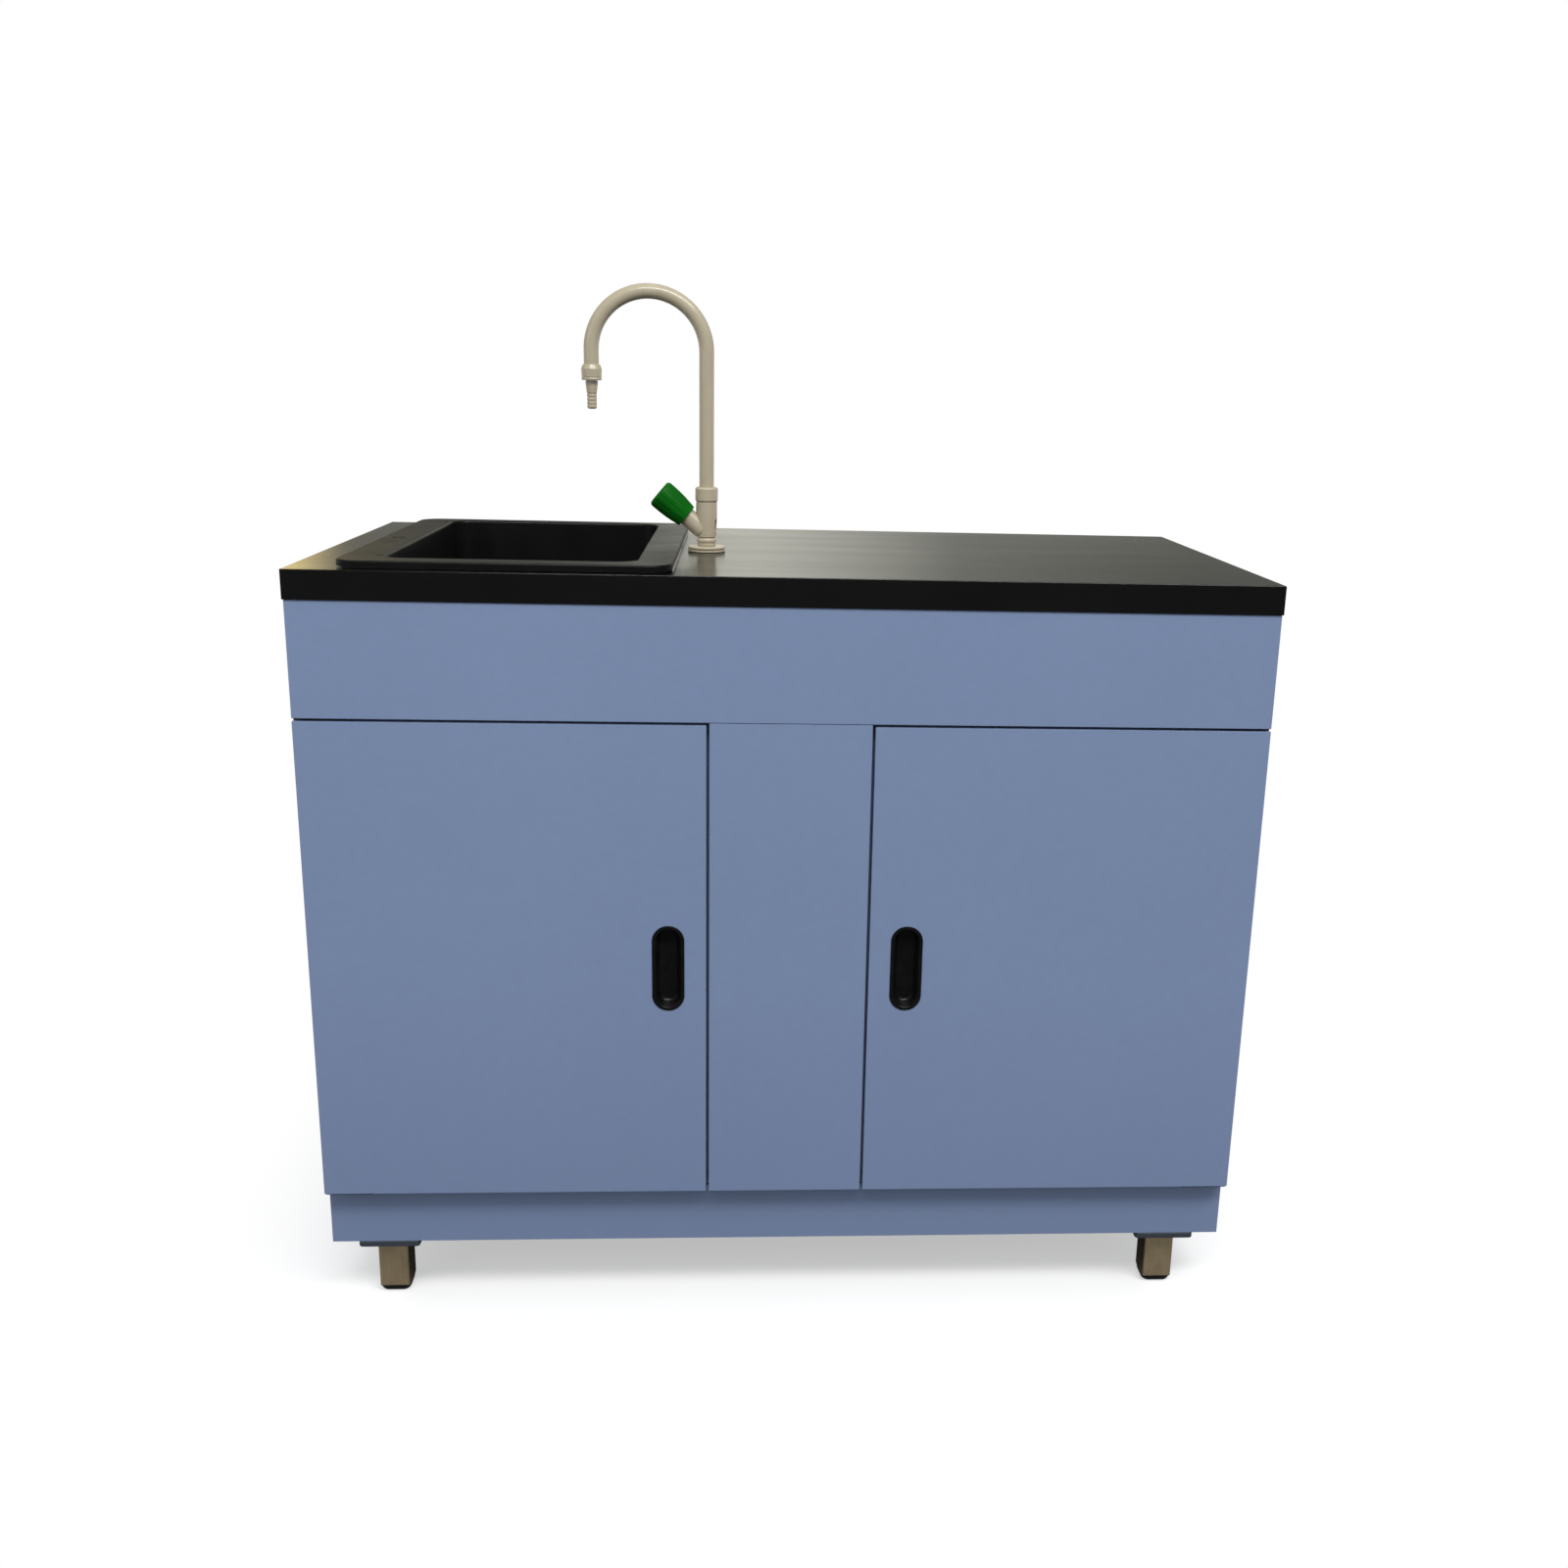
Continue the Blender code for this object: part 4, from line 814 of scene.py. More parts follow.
class Basin(Solid):
    """Outlines of the sink at a distance from its rim or its opening."""

    def __init__(self, sizes):
        super().__init__("sink_basin")
        self.sizes = sizes
        self.mouth_low = Vector((self.low.x + sizes.ledge_left, self.low.y + sizes.ledge_front))
        self.mouth_high = Vector((self.high.x - sizes.ledge_right, self.high.y - sizes.ledge_back))
        self.centre = (self.mouth_low + self.mouth_high) / 2

    def rim(self, grow, z):
        half = (self.wide + grow, self.deep / 2 + grow)
        return round_rect(self.middle, half, self.sizes.rim_corner + grow, z)

    def bowl(self, grow, z):
        half = (self.mouth_high - self.mouth_low) / 2
        return round_rect(self.centre, (half.x + grow, half.y + grow), self.sizes.corner + grow, z)

    def outlet(self, radius, z):
        return round_rect(self.centre, (radius, radius), radius, z)


def sink_shell(sink):
    """The rim's edge, the lip, the walls and floor inside, the outlet, and back outside."""
    sizes = sink.sizes
    top, under = sink.high.z, sink.low.z
    floor = under + sizes.wall
    bottom = top - sizes.rim_thickness
    soft = sizes.floor_round
    lean = sizes.taper + soft
    edge = arc((-sizes.rim_round, top - sizes.rim_round), sizes.rim_round, 0.0, 90.0)
    mouth = arc((sizes.lip, top - sizes.lip), sizes.lip, 90.0, 180.0)
    sweep = arc((-lean, floor + soft), soft, 0.0, -90.0, 8)
    below = arc((sizes.wall - lean, under + soft), soft, -90.0, 0.0, 8)
    outlines = [sink.rim(grow, z) for grow, z in [(0.0, bottom)] + edge]
    outlines += [sink.bowl(grow, z) for grow, z in mouth + sweep]
    outlines += [sink.outlet(sizes.outlet + 0.010, floor), sink.outlet(sizes.outlet, floor),
                 sink.outlet(sizes.outlet, under)]
    outlines += [sink.bowl(grow, z) for grow, z in below + [(sizes.wall, bottom)]]
    return skin(outlines, ring=True)


def marked_shell(sink, shell):
    """A knock-out ring and a short line on the left ledge, and a dimple near each end."""
    sizes = sink.sizes
    mark, ball = sizes.mark, sizes.dimple
    top = sink.high.z
    deep, over = top - sizes.mark_depth, top + 0.001
    groove = mark * 0.22
    ledge = sink.low.x + sizes.ledge_left * 0.43
    middle = sink.centre.y - 0.012
    ring = turned([(mark - groove, deep), (mark, deep), (mark + groove, over),
                   (mark - 2 * groove, over)], (ledge, middle), 40)
    left, right, front, half = 0.004, 0.009, middle - 0.050, 0.002
    line = board((ledge - left, front - half, deep), (ledge + right, front + half, top + 0.002), 0.0003, 1)
    shell = cut(cut(shell, ring), line)
    inset, near, far = 0.0070, 0.021, 0.030
    for y in (sink.mouth_low.y + near, sink.mouth_high.y - far):
        dimple = bmesh.new()
        spot = (sink.mouth_low.x - inset, y, deep + ball)
        bmesh.ops.create_uvsphere(dimple, u_segments=32, v_segments=16, radius=ball,
                                  matrix=Matrix.Translation(spot))
        shell = cut(shell, dimple)
    return shell


def sealant_bead(sink):
    """A ragged line of sealant along the right side of the rim."""
    sizes = sink.sizes
    top = Solid("worktop").high.z
    foot = top + 0.0002
    tall = sink.high.z - sizes.rim_thickness - top + 0.0012
    side = sink.high.x
    inside = side - 0.0004
    near = sink.low.y + sizes.rim_corner
    far = sink.high.y - sizes.rim_corner
    steps, lumps, specks, least = 150, 70.0, 310.0, 0.0003
    sections = []
    for step in range(steps + 1):
        y = near + (far - near) * step / steps
        ragged = noise.noise(Vector((side, y * lumps, 3.0)))
        fine = noise.noise(Vector((side, y * specks, 9.0)))
        wide = max(sizes.bead * (0.75 + 0.6 * ragged + 0.4 * fine), least)
        high = top + tall * (0.85 + 0.3 * fine)
        sections.append([(inside, y, high), (side + wide * 0.45, y, top + tall * 0.45),
                         (side + wide, y, foot), (inside, y, foot)])
    return skin(sections)


class BENCH_OT_sink(bpy.types.Operator):
    """Drop-in sink with its moulded marks, its seal and the bead of sealant"""
    bl_idname = "bench.sink"
    bl_label = "Sink"

    def execute(self, context):
        sink = Basin(context.scene.bench_sink)
        keep("sink_bowl", marked_shell(sink, sink_shell(sink)), sink.node, angle=40.0)
        recoat("sink_seal")
        keep("sink_sealant", sealant_bead(sink), body="bench", coat="sealant", angle=60.0)
        return {"FINISHED"}


def leg_shape(sizes, leg):
    """A tube that widens through its weld into the plate."""
    outer, corner = sizes.tube / 2, sizes.tube_corner
    inner, inner_corner = outer - sizes.tube_wall, corner - sizes.tube_wall
    low, high = leg.low.z, leg.high.z
    under = high - sizes.plate
    ease, bend = 0.0008, 0.004
    rows = [(inner, inner_corner, under), (inner, inner_corner, low), (outer, corner, low)]
    for grow, drop in ((0.0, 1.0), (0.22, 0.55), (0.55, 0.22), (1.0, 0.0)):
        out = sizes.weld * grow
        rows.append((outer + out, corner + out, under - sizes.weld * drop))
    rows += [(leg.wide - ease, bend, under), (leg.wide, bend + ease, under + ease),
             (leg.wide, bend + ease, high - ease), (leg.wide - ease, bend, high)]
    return stacked(rows, leg.middle, 5)


def foot_shape(sizes, foot, centre):
    """A plug whose lower edge is rounded, flush with the tube above it."""
    outer, corner = sizes.tube / 2, sizes.tube_corner
    plug = outer - sizes.tube_wall - PLAY
    ease, bend = sizes.foot_round, 0.0105
    edge = arc((outer - ease, ease), ease, -90.0, 0.0, 7)
    rows = [(half, half + bend - outer, z) for half, z in edge]
    rows += [(outer, corner + 0.004, sizes.foot - 0.0012), (outer, corner, sizes.foot),
             (plug, corner, sizes.foot), (plug, corner, foot.high.z)]
    return stacked(rows, centre, 6)


class BENCH_OT_legs(bpy.types.Operator):
    """Welded square legs, their plug feet and the screws of the plates"""
    bl_idname = "bench.legs"
    bl_label = "Legs"

    def execute(self, context):
        sizes = context.scene.bench_legs
        screw = 0.0045
        screws = []
        for label in ("front_left", "front_right", "back_left", "back_right"):
            leg = Solid("leg_" + label)
            foot = Solid("foot_" + label)
            keep(label + "_leg", leg_shape(sizes, leg), leg.node, angle=40.0)
            keep(label + "_foot", foot_shape(sizes, foot, leg.middle), foot.node, angle=40.0)
            reach = sizes.tube / 4 + leg.wide / 2
            for x, y in ((reach, reach), (-reach, reach), (-reach, -reach), (reach, -reach)):
                spot = (leg.middle.x + x, leg.middle.y + y, leg.high.z - sizes.plate)
                screws.append(pan_screw(spot, -UP, screw))
        keep("leg_screws", joined(*screws), body="bench", coat="zinc_steel")
        return {"FINISHED"}


def foot_disc(sizes):
    """A disc with a grooved edge and a raised seat."""
    disc = Solid("tap_flange")
    wide, tall = disc.wide, disc.tall
    slip = Solid("tap_shank").wide + PLAY
    groove, edge = wide - 0.0024, wide - 0.0002
    lathe("tap_foot_disc", disc, [
        (slip, tall), (sizes.body, tall), (wide - 0.0012, tall - 0.0006), (wide, tall - 0.0014),
        (wide, tall * 0.58), (groove, tall * 0.52), (groove, tall * 0.42), (edge, tall * 0.36),
        (edge, 0.0005), (wide - 0.0007, 0.0), (slip, 0.0)], 0.0004, TAP_AXIS, 72, 40.0)


def tap_column(sizes):
    """A bead ring, a column that widens upwards, the branch of the valve and a side recess."""
    foot = Solid("tap_body").low.z
    top = SWIVEL.z - foot
    body, neck, ring = sizes.body, sizes.neck, sizes.ring
    bulge, level = 0.0037, 0.0070
    bead = arc((ring - bulge, level), bulge, -65.0, 75.0, 8)
    tap = turned([
        (0.0, 0.0), (neck - 0.0004, 0.0), (neck, 0.0005), (neck, 0.0032), *bead,
        (ring - 0.0006, 0.0118), (ring - 0.0002, 0.0160), (body, 0.0350), (body, top - 0.0010),
        (body - 0.0010, top), (0.0, top)], TAP_AXIS, 64, foot)
    branch = turned(soften([
        (0.0, sizes.bore), (sizes.branch, sizes.bore), (sizes.branch, sizes.branch_end),
        (0.0, sizes.branch_end)], 0.0008))
    tap = cut(tap, placed(branch, VALVE, VALVE_AXIS), "UNION")
    slot, tall, lift, deep = 0.0062, 0.0160, 0.0270, 0.0042
    recess = skin([capsule(Vector(), slot, tall, y) for y in (0.0, 2 * PAST)])
    side = Vector((0.92, -0.39, 0.0))
    turn = Matrix.Rotation(math.atan2(side.y, side.x) - math.radians(90.0), 4, "Z")
    spot = Vector((*TAP_AXIS, foot + lift)) + side * (body - deep)
    bmesh.ops.transform(recess, matrix=Matrix.Translation(spot) @ turn, verts=recess.verts)
    keep("tap_column", cut(tap, recess), "tap_body", angle=40.0)


def spout_collar(sizes):
    """A ring with a chamfered top, and room inside for the spout's foot."""
    ring = Solid("swivel_collar")
    wide, tall = ring.wide, ring.tall
    neck, foot = sizes.spout + PLAY, sizes.spout_foot + PLAY
    ledge = 0.0054
    lathe("spout_collar", ring, [
        (neck, tall), (wide - 0.0024, tall), (wide, tall - 0.0022), (wide, 0.0008),
        (wide - 0.0011, 0.0), (foot, 0.0), (foot, ledge), (neck, ledge)], 0.0006, TAP_AXIS, 64)


class BENCH_OT_tap(bpy.types.Operator):
    """Flange, body with its valve branch, and the collar that holds the spout"""
    bl_idname = "bench.tap"
    bl_label = "Tap"

    def execute(self, context):
        sizes = context.scene.bench_tap
        foot_disc(sizes)
        tap_column(sizes)
        spout_collar(sizes)
        recoat("spout_washer", "valve_cartridge")
        return {"FINISHED"}


def swan_neck(sizes, pipe, end):
    """Rings of tube: from the foot up, over the bend, and down to the nozzle."""
    foot = pipe.low.z
    bend = (SWIVEL.x - end) / 2
    spring = pipe.high.z - bend - sizes.spout
    tip = Solid("nozzle_collar").high.z - sizes.socket
    bend_steps = 56

    def ring(angle, lift, radius):
        flat = arc((bend, SWIVEL.y), radius, 0.0, 360.0, 36)[1:]
        return [(SWIVEL.x - bend + out * math.cos(angle), y, lift + out * math.sin(angle))
                for out, y in flat]

    rings = [ring(0.0, foot, sizes.spout_foot), ring(0.0, foot + 0.0028, sizes.spout_foot),
             ring(0.0, foot + 0.0030, sizes.spout)]
    rings += [ring(math.pi * step / bend_steps, spring, sizes.spout) for step in range(bend_steps + 1)]
    return skin(rings + [ring(math.pi, tip, sizes.spout)])


def nozzle_ring(sizes, centre):
    """A barrel with a sloped shoulder and a rolled lower lip."""
    ring = Solid("nozzle_collar")
    wide, tall = ring.wide, ring.tall
    neck, lip, bore = sizes.spout + PLAY, wide - 0.0004, 0.0062
    seat = tall - sizes.socket - PLAY
    lathe("nozzle_ring", ring, [
        (neck, tall), (neck + 0.0009, tall), (wide - 0.0002, tall - 0.0058), (wide - 0.0006, 0.0042),
        (wide - 0.0012, 0.0032), (lip, 0.0022), (lip, 0.0008), (wide - 0.0014, 0.0), (bore, 0.0),
        (bore, seat), (neck, seat)], 0.0006, centre, 56, 45.0)


def hose_tail(centre):
    """A smooth cone, then fine rings and a rounded tip."""
    tail = Solid("hose_nozzle")
    wide, tall = tail.wide, tail.tall
    bore, slim, count = 0.0040, 0.0064, 4
    cone = tall - 0.0155
    pitch = (cone - 0.0012) / count
    profile = [(bore, tall), (wide - 0.0008, tall), (wide, tall - 0.0022), (slim + 0.0003, cone)]
    for barb in range(count):
        start = cone - pitch * barb
        profile += [(slim - 0.0006, start - pitch * 0.25), (slim, start - pitch * 0.55),
                    (slim, start - pitch * 0.85)]
    profile += [(slim - 0.0012, 0.0006), (slim - 0.0022, 0.0), (bore, 0.0)]
    lathe("hose_tail", tail, profile, 0.0006, centre, 40, 45.0, 2)


class BENCH_OT_spout(bpy.types.Operator):
    """Swan neck with its collar and barbed hose nozzle"""
    bl_idname = "bench.spout"
    bl_label = "Spout"

    def execute(self, context):
        sizes = context.scene.bench_tap
        end = (Solid("hose_nozzle").middle.x, SWIVEL.y)
        keep("swan_neck", swan_neck(sizes, Solid("gooseneck"), end[0]), "gooseneck", angle=50.0)
        nozzle_ring(sizes, end)
        hose_tail(end)
        return {"FINISHED"}


class BENCH_OT_knob(bpy.types.Operator):
    """Green valve knob, slightly swollen and fluted, with a dished end"""
    bl_idname = "bench.knob"
    bl_label = "Valve knob"

    def execute(self, context):
        start, end, thin, wide = 0.0350, 0.0830, 0.0158, 0.0195
        bend, dish, socket, bulge = 0.0045, 0.0012, 0.0115, 0.0012
        rows, flutes, groove, margin = 8, 12, 0.030, 0.003
        skirt = context.scene.bench_tap.branch + 0.0008
        swell = []
        for row in range(rows, -1, -1):
            share = row / rows
            radius = thin + (wide - thin) * share + bulge * math.sin(math.pi * share)
            swell.append((radius, start + (end - start - bend) * share))
        knob = turned([
            (0.0, end - dish), (wide - 0.0070, end - dish), (wide - 0.0058, end - 0.0002),
            *arc((wide - 0.0047, end - bend), bend, 90.0, 10.0), *swell,
            (thin - 0.0006, start - 0.0003), (skirt + 0.0004, start), (skirt, start + 0.0006),
            (skirt, start + socket), (0.0, start + socket)], steps=96)
        for vert in knob.verts:
            flat = vert.co.to_2d()
            if flat.length > thin - 0.0003 and start + margin < vert.co.z < end - margin:
                flute = max(0.0, math.cos(flutes * math.atan2(flat.y, flat.x))) ** 2
                vert.co.xy = flat * (1.0 - groove * flute)
        keep("green_knob", placed(knob, VALVE, VALVE_AXIS), "valve_knob", angle=38.0)
        recoat("valve_spindle")
        return {"FINISHED"}


def lying(shape, solid):
    """Lay a turned shape along a solid that runs to the back."""
    return placed(shape, (solid.middle.x, solid.low.y, solid.middle.z), BACK)


def ring_nut(bore, wide, tall):
    """A hand nut with grip flutes round it."""
    edge = 0.0012
    bm = turned(soften([(bore, 0.0), (wide - edge, 0.0), (wide, edge), (wide, tall - edge),
                        (wide - edge, tall), (bore, tall)], 0.0004, 1), steps=30)
    bmesh.ops.recalc_face_normals(bm, faces=bm.faces)
    sides = [face for face in bm.faces if abs(face.normal.z) < 0.1 and face.calc_area() > 1e-5
             and face.calc_center_median().to_2d().length > wide * 0.95]
    bmesh.ops.inset_individual(bm, faces=sides, thickness=0.0008, depth=-0.0009, use_even_offset=True)
    return bm


def strainer_waste(sink, centre):
    """A flange in the basin, a cross of strainer bars and a threaded tail."""
    tail = Solid("sink_waste")
    low, high, wide = tail.low.z, tail.high.z, tail.wide
    body = sink.sizes.outlet - 0.001
    bore = body - 0.0045
    seat = high - 0.003
    pitch, ridge = 0.002, 0.0008
    bar, bar_tall = 0.00225, 0.0045
    profile = [(bore, high - 0.0012), (bore + 0.0012, high), (wide - 0.0022, high),
               (wide, seat + 0.0008), (wide, seat), (body, seat)]
    profile += thread(body, sink.low.z - 0.004, low, pitch, ridge)
    waste = turned(profile + [(body - ridge, low), (bore, low)], centre, 60)
    for half in cross(bore + 0.002, bar, -bar_tall, 0.0, 0.0006, 2):
        waste = cut(waste, placed(half, (*centre, seat), UP), "UNION")
    keep("strainer_waste", waste, tail.node)


def trap_bottle(centre, pipe):
    """The trap's body with a side branch."""
    trap = Solid("trap_body")
    low, high, wide, wall = trap.low.z, trap.high.z, trap.wide, PIPE_WALL
    level = pipe.middle.z
    shoulder = high - 0.026
    neck, bore, ease = 0.029, 0.0245, 0.002
    body = turned(soften([
        (bore, high), (neck, high), (neck, shoulder + 2 * ease), (neck + ease, shoulder),
        (wide, shoulder - ease), (wide, low), (wide - wall, low), (wide - wall, shoulder - wall - ease),
        (bore, shoulder - wall)], 0.0022), centre, 60)
    x, y = centre
    end = trap.high.y
    body = cut(body, rod((x, y + wide - wall, level), (x, end, level), pipe.wide, 48), "UNION")
    body = cut(body, rod((x, y, level), (x, end + 2 * PAST, level), pipe.wide - wall, 48))
    keep("trap_bottle", body, trap.node, angle=40.0)


def trap_cup(centre, wide):
    """The trap's lower part, which unscrews."""
    cup = Solid("trap_cup")
    tall, socket, wall = cup.tall, cup.wide, PIPE_WALL
    ledge, floor, slip = 0.075, 0.0065, wide + PLAY
    lathe("trap_cup_screwed", cup, [
        (0.0, 0.0), (0.012, 0.0), (0.014, 0.003), (wide - 0.006, 0.003), (wide, 0.010),
        (wide, ledge - wall), (socket, ledge), (socket, tall), (slip, tall), (slip, ledge),
        (wide - wall, ledge), (wide - wall, 0.012), (wide - 0.010, floor), (0.0, floor)],
        0.0022, centre, 60, 40.0)


class BENCH_OT_drain(bpy.types.Operator):
    """Waste with its strainer, trap, coupling nuts and the pipe out of the back"""
    bl_idname = "bench.drain"
    bl_label = "Drain"

    def execute(self, context):
        tail_bore, pipe_bore = 0.0293, 0.0203
        sink = Basin(context.scene.bench_sink)
        centre = tuple(sink.centre)
        strainer_waste(sink, centre)
        for name, node in (("waste_ring_nut", "waste_nut"), ("trap_ring_nut", "trap_coupling_nut")):
            nut = Solid(node)
            shape = ring_nut(tail_bore, nut.wide, nut.tall)
            keep(name, placed(shape, (*centre, nut.low.z), UP), node)
        nut = Solid("outlet_coupling_nut")
        shape = ring_nut(pipe_bore, nut.wide, nut.deep)
        keep("pipe_ring_nut", lying(shape, nut), nut.node)
        pipe = Solid("outlet_pipe")
        trap_bottle(centre, pipe)
        trap_cup(centre, Solid("trap_body").wide)
        inside = pipe.wide - PIPE_WALL
        tube = turned(soften([(inside, 0.0), (pipe.wide, 0.0), (pipe.wide, pipe.deep),
                              (inside, pipe.deep)], 0.0006), steps=60)
        keep("waste_pipe", lying(tube, pipe), pipe.node)
        return {"FINISHED"}


def back_nut(centre, bore):
    """Six flats with chamfered corners."""
    nut = Solid("tap_backnut")
    corner = nut.deep / 2 / math.cos(math.radians(30))
    bm = bmesh.new()
    bmesh.ops.create_cone(
        bm, cap_ends=True, segments=6, radius1=corner, radius2=corner, depth=nut.tall,
        matrix=Matrix.Translation((*centre, nut.middle.z)))
    round_edges(bm, 0.0008)
    hole = rod((*centre, nut.low.z - PAST), (*centre, nut.high.z + PAST), bore)
    keep("shank_back_nut", cut(bm, hole), nut.node, angle=25.0)


class BENCH_OT_tap_fixings(bpy.types.Operator):
    """Threaded shank, back nut and washer under the worktop"""
    bl_idname = "bench.tap_fixings"
    bl_label = "Tap fixings"

    def execute(self, context):
        bore = context.scene.bench_tap.bore
        shank = Solid("tap_shank")
        centre = (shank.middle.x, shank.middle.y)
        low, high, wide = shank.low.z, shank.high.z, shank.wide
        under = Solid("worktop").low.z
        pitch, ridge = 0.0016, 0.0007
        profile = [(bore, high), (wide, high), (wide, under + 0.002)]
        profile += thread(wide, under, low, pitch, ridge)
        profile += [(wide - 0.0009, low), (bore, low)]
        keep("threaded_shank", turned(profile, centre, 40), shank.node, angle=25.0)
        washer = Solid("tap_washer")
        slip, outer, tall = wide + PLAY, washer.wide, washer.tall
        lathe("shank_washer", washer, [(slip, 0.0), (outer, 0.0), (outer, tall), (slip, tall)], 0.0008,
              centre, 48)
        back_nut(centre, slip)
        return {"FINISHED"}


def pivot_plate(side, sign, level, up, axis):
    """A plate with its pin and two countersunk screws."""
    plate = Solid("%s_%s_pivot_plate" % (side, level))
    low, high = plate.low, plate.high
    thick, pin, sunk, screw, edge = 0.002, 0.0025, 0.001, 0.0034, 0.008
    middle = abs(axis.x)
    outer, inner = middle + 0.0055, Solid("bottom_panel").high.x
    near = min(abs(low.x), abs(high.x))
    corner = Solid(side + "_door_panel").high.y + 0.0029
    foot = low.z if up > 0 else high.z
    seat = foot + up * thick
    outline = [(outer, low.y), (outer, corner), (inner, corner), (inner, high.y), (near, high.y),
               (near, low.y)]
    shape = skin([[(sign * x, y, z) for x, y in outline] for z in sorted((foot, seat))])
    round_edges(shape, PLAY, 1)
    reach = plate.tall - thick
    stud = turned(soften([(0.0, -sunk), (pin, -sunk), (pin, reach), (0.0, reach)], 0.0007), steps=32)
    shape = cut(shape, placed(stud, (axis.x, axis.y, seat), up * UP), "UNION")
    for x in (middle - 0.024, middle - 0.045):
        spot = (sign * x, high.y - edge, seat)
        shape = cut(shape, flush_screw_cutter(spot, up * UP, screw))
    # painted shade: the near-black finish makes the plate show as the shade of the gap
    keep("%s_%s_pivot" % (side, level), shape, plate.node, coat="dark_steel")


def pivot_bush(name, bush):
    """A ring in the door that takes the pin."""
    bore, wide, tall = 0.0028, bush.wide, bush.tall
    lathe(name, bush, [(bore, 0.0), (wide, 0.0), (wide, tall), (bore, tall)], 0.0005,
          (bush.middle.x, bush.middle.y), 32)


def door_catch(side, sign):
    """A moulded housing with two steel pole strips and its screws."""
    catch = Solid(side + "_catch")
    low, high, middle = catch.low, catch.high, catch.middle
    lip, end, gap, thin, screw = 0.0025, 0.006, 0.0025, 0.001, 0.0030
    slot = board((low.x + lip, low.y - 0.002, low.z + end), (high.x - lip, low.y + lip, high.z - end),
                 0.0004, 1)
    keep(side + "_catch_housing", cut(board(low, high, 0.0012, 3), slot), catch.node)
    poles = [board((x - thin, low.y + 0.0002, low.z + end + 0.0005),
                   (x + thin, low.y + 0.0024, high.z - end - 0.0005), 0.0002, 1)
             for x in (middle.x - gap, middle.x + gap)]
    outer = high.x if sign > 0 else low.x
    for z in (low.z + 2 * end, high.z - 2 * end):
        poles.append(pan_screw((outer, middle.y + 0.003, z), Vector((sign, 0.0, 0.0)), screw))
    keep(side + "_catch_poles", joined(*poles), body="bench", coat="zinc_steel")


def door_strike(side):
    """A plate with two countersunk screws."""
    strike = Solid(side + "_strike_plate")
    edge, screw = 0.008, 0.0026
    plate = board(strike.low, strike.high, 0.0004)
    for z in (strike.low.z + edge, strike.high.z - edge):
        plate = cut(plate, flush_screw_cutter((strike.middle.x, strike.high.y, z), BACK, screw))
    keep(side + "_strike", plate, strike.node)


class BENCH_OT_door_fittings(bpy.types.Operator):
    """Pivot plates, bushes, magnetic catches and strike plates"""
    bl_idname = "bench.door_fittings"
    bl_label = "Door fittings"

    def execute(self, context):
        for side, sign in SIDES.items():
            for level, up in (("bottom", 1), ("top", -1)):
                bush = Solid("%s_%s_bush" % (side, level))
                pivot_plate(side, sign, level, up, bush.middle)
                pivot_bush("%s_%s_pivot_bush" % (side, level), bush)
            door_catch(side, sign)
            door_strike(side)
        return {"FINISHED"}


def seen_rays(nodes):
    """1 for rays of the camera, reflections and clear materials."""
    rays = [nodes.add("ShaderNodeLightPath", output=name)
            for name in ("Is Camera Ray", "Is Glossy Ray", "Is Transmission Ray")]
    return nodes.spread(rays[0] + rays[1] + rays[2], 0.0, 1.0)


def studio_surround(scene, settings):
    """White to the camera; reflections show a window band, a warm strip and a dim front."""
    world = bpy.data.worlds.new("studio")
    world.use_nodes = True
    scene.world = world
    nodes = Nodes(world.node_tree)
    across, back, height = nodes.axes("Generated")
    camera = nodes.add("ShaderNodeLightPath", output="Is Camera Ray")
    seen = seen_rays(nodes)
    daylight, lamplight, sky = (1.0, 1.0, 0.89, 1.0), (1.0, 0.79, 0.36, 1.0), (0.97, 1.0, 1.03, 1.0)
    # brightest straight behind the bench, and darker at both sides
    window = nodes.spread(across, -0.10, -0.015, 0.17, 1.0)
    window = window * nodes.spread(across, 0.005, 0.13, 1.0, 0.28)
    window = window * nodes.spread(across, 0.13, 0.28, 1.0, 0.48)
    # a narrow warm lamp at the left
    strip = nodes.spread(across, -0.33, -0.30)
    lamp = strip * nodes.spread(across, -0.275, -0.245, 1.0, 0.0)
    # plain white near the horizon
    low = nodes.spread(height, 0.03, 0.07, 1.0, 0.0)
    wall = low + (1.0 - low) * (window + lamp * 1.7)
    overhead = nodes.spread(height, 0.22, 0.55, 1.0, 0.55)
    behind = nodes.spread(back, -0.25, 0.25, settings.front, 1.0)
    mirrored = camera + (1.0 - camera) * wall * overhead * behind
    glow = strip * nodes.spread(across, -0.262, -0.235, 1.0, 0.0)
    warm = glow * (1.0 - low) * (1.0 - camera) * seen
    tone = nodes.blend(warm, daylight, lamplight)
    tone = nodes.blend(camera, tone, WHITE)
    tone = nodes.blend(seen, sky, tone)
    level = seen * mirrored + (1.0 - seen) * settings.ambient
    nodes.feed(world.node_tree.nodes["Background"], {"Color": tone, "Strength": level})


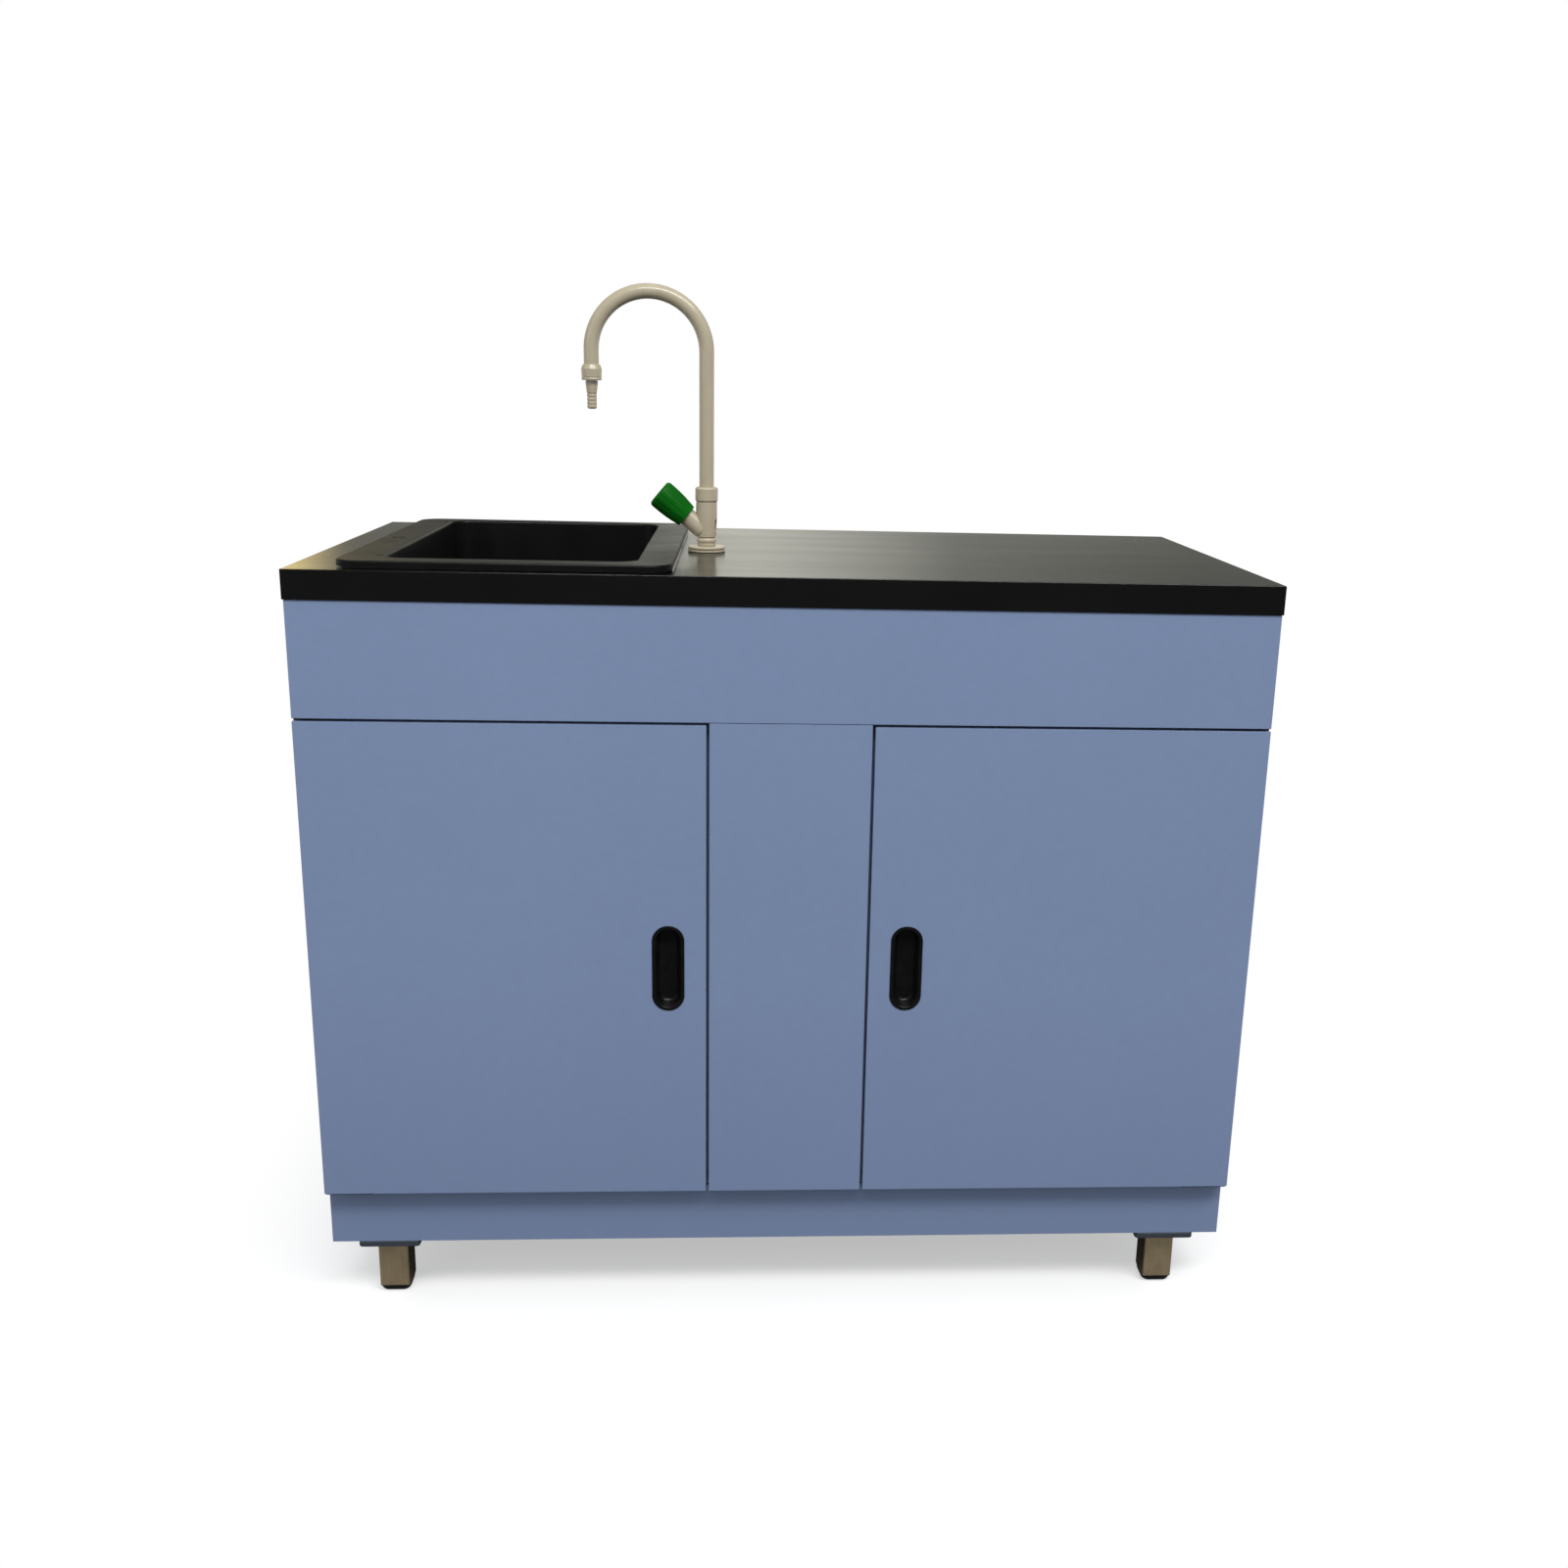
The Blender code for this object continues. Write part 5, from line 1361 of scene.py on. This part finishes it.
def studio_floor(settings):
    """Pale where the shadow falls, and white farther out where it meets the surround."""
    reach, drop = 40.0, 0.0004
    shaded, fade, veil = (0.56, 0.27, 0.0), 0.25, 0.45
    bm = bmesh.new()
    bmesh.ops.create_grid(bm, x_segments=8, y_segments=8, size=reach,
                          matrix=Matrix.Translation(-drop * UP))
    mesh = meshed("studio_floor", bm)
    made = bpy.data.materials.new("studio_floor")
    made.use_nodes = True
    nodes = Nodes(made.node_tree)
    spot = nodes.vectors("ABSOLUTE", nodes.add("ShaderNodeTexCoord", output="Object"))
    past = nodes.vectors("MAXIMUM", nodes.vectors("SUBTRACT", spot, shaded))
    clear = nodes.spread(nodes.vectors("LENGTH", past, output="Value"), 0.0, fade)
    camera = nodes.add("ShaderNodeLightPath", output="Is Camera Ray")
    tone = nodes.blend(camera, (*settings.bounce, 1.0), (*settings.floor, 1.0))
    pale = nodes.add("ShaderNodeBsdfDiffuse", {}, {"Color": tone}, "BSDF")
    behind = nodes.spread(nodes.axes()[1], -0.4, 0.4, settings.front, 1.0)
    white = nodes.add("ShaderNodeEmission", {}, {
        "Color": WHITE, "Strength": camera + (1.0 - camera) * behind}, "Emission")
    share = seen_rays(nodes) * (clear + (1.0 - clear) * camera * veil)
    mixed = nodes.add("ShaderNodeMixShader", {}, {0: share, 1: pale, 2: white}, "Shader")
    nodes.feed(made.node_tree.nodes["Material Output"], {"Surface": mixed})
    mesh.materials.append(made)
    linked("studio_floor", mesh)


def studio_lamp(name, power, place, aim, size):
    """An oblong lamp that is aimed at a point."""
    data = bpy.data.lights.new(name, "AREA")
    data.shape = "RECTANGLE"
    data.energy = power
    data.size, data.size_y = size
    lamp = linked(name, data)
    lamp.location = place
    lamp.rotation_euler = (Vector(aim) - Vector(place)).to_track_quat("-Z", "Y").to_euler()


def studio_camera(scene, settings):
    """The camera, turned by its pitch, roll and yaw."""
    pitch, roll, yaw = settings.turn
    data = bpy.data.cameras.new("eye")
    data.sensor_width = 36.0
    data.lens = settings.lens
    data.shift_x, data.shift_y = settings.shift
    scene.camera = linked("eye", data)
    turn = Matrix.Rotation(yaw, 4, "Z") @ Matrix.Rotation(pitch, 4, "X") @ Matrix.Rotation(roll, 4, "Y")
    level = Matrix.Rotation(math.radians(90.0), 4, "X")
    scene.camera.matrix_world = Matrix.Translation(settings.eye) @ turn @ level


class BENCH_OT_stage(bpy.types.Operator):
    """Pale floor, white surround, soft lamps and the camera"""
    bl_idname = "bench.stage"
    bl_label = "Stage"

    def execute(self, context):
        scene = context.scene
        settings = scene.bench_stage
        scene.view_settings.view_transform = "Standard"
        studio_surround(scene, settings)
        studio_floor(settings)
        studio_lamp("key_lamp", settings.key_power, place=(1.4, -4.0, 6.4), aim=(0.0, -0.2, 0.5),
                    size=(6.5, 1.2))
        studio_lamp("fill_lamp", settings.fill_power, place=(-2.9, -1.9, 1.9), aim=(-0.1, 0.0, 0.6),
                    size=(1.6, 1.6))
        studio_camera(scene, settings)
        return {"FINISHED"}


class BENCH_PT_build(bpy.types.Panel):
    """Steps that dress the bench"""
    bl_label = "Sink bench"
    bl_space_type = "VIEW_3D"
    bl_region_type = "UI"
    bl_category = "Bench"

    def draw(self, context):
        for step in STEPS:
            self.layout.operator(step.bl_idname)
        for group in GROUPS:
            settings = getattr(context.scene, group)
            box = self.layout.box()
            for name in settings.bl_rna.properties.keys():
                if name not in ("name", "rna_type"):
                    box.prop(settings, name)


GROUPS = {"bench_boards": BoardSizes, "bench_pulls": PullSizes, "bench_sink": SinkSizes,
          "bench_legs": LegSizes, "bench_tap": TapSizes, "bench_finishes": FinishColours,
          "bench_stage": StageSettings}
STEPS = (BENCH_OT_front_boards, BENCH_OT_carcass, BENCH_OT_doors, BENCH_OT_pulls, BENCH_OT_worktop,
         BENCH_OT_sink, BENCH_OT_legs, BENCH_OT_tap, BENCH_OT_spout, BENCH_OT_knob, BENCH_OT_drain,
         BENCH_OT_tap_fixings, BENCH_OT_door_fittings, BENCH_OT_stage)
CLASSES = (*GROUPS.values(), *STEPS, BENCH_PT_build)


def register():
    for made in CLASSES:
        bpy.utils.register_class(made)
    for name, group in GROUPS.items():
        setattr(bpy.types.Scene, name, PointerProperty(type=group))


def unregister():
    for name in GROUPS:
        delattr(bpy.types.Scene, name)
    for made in reversed(CLASSES):
        bpy.utils.unregister_class(made)


def main():
    register()
    for step in STEPS:
        name = step.bl_idname.split(".")[1]
        getattr(bpy.ops.bench, name)()


if __name__ == "__main__":
    main()
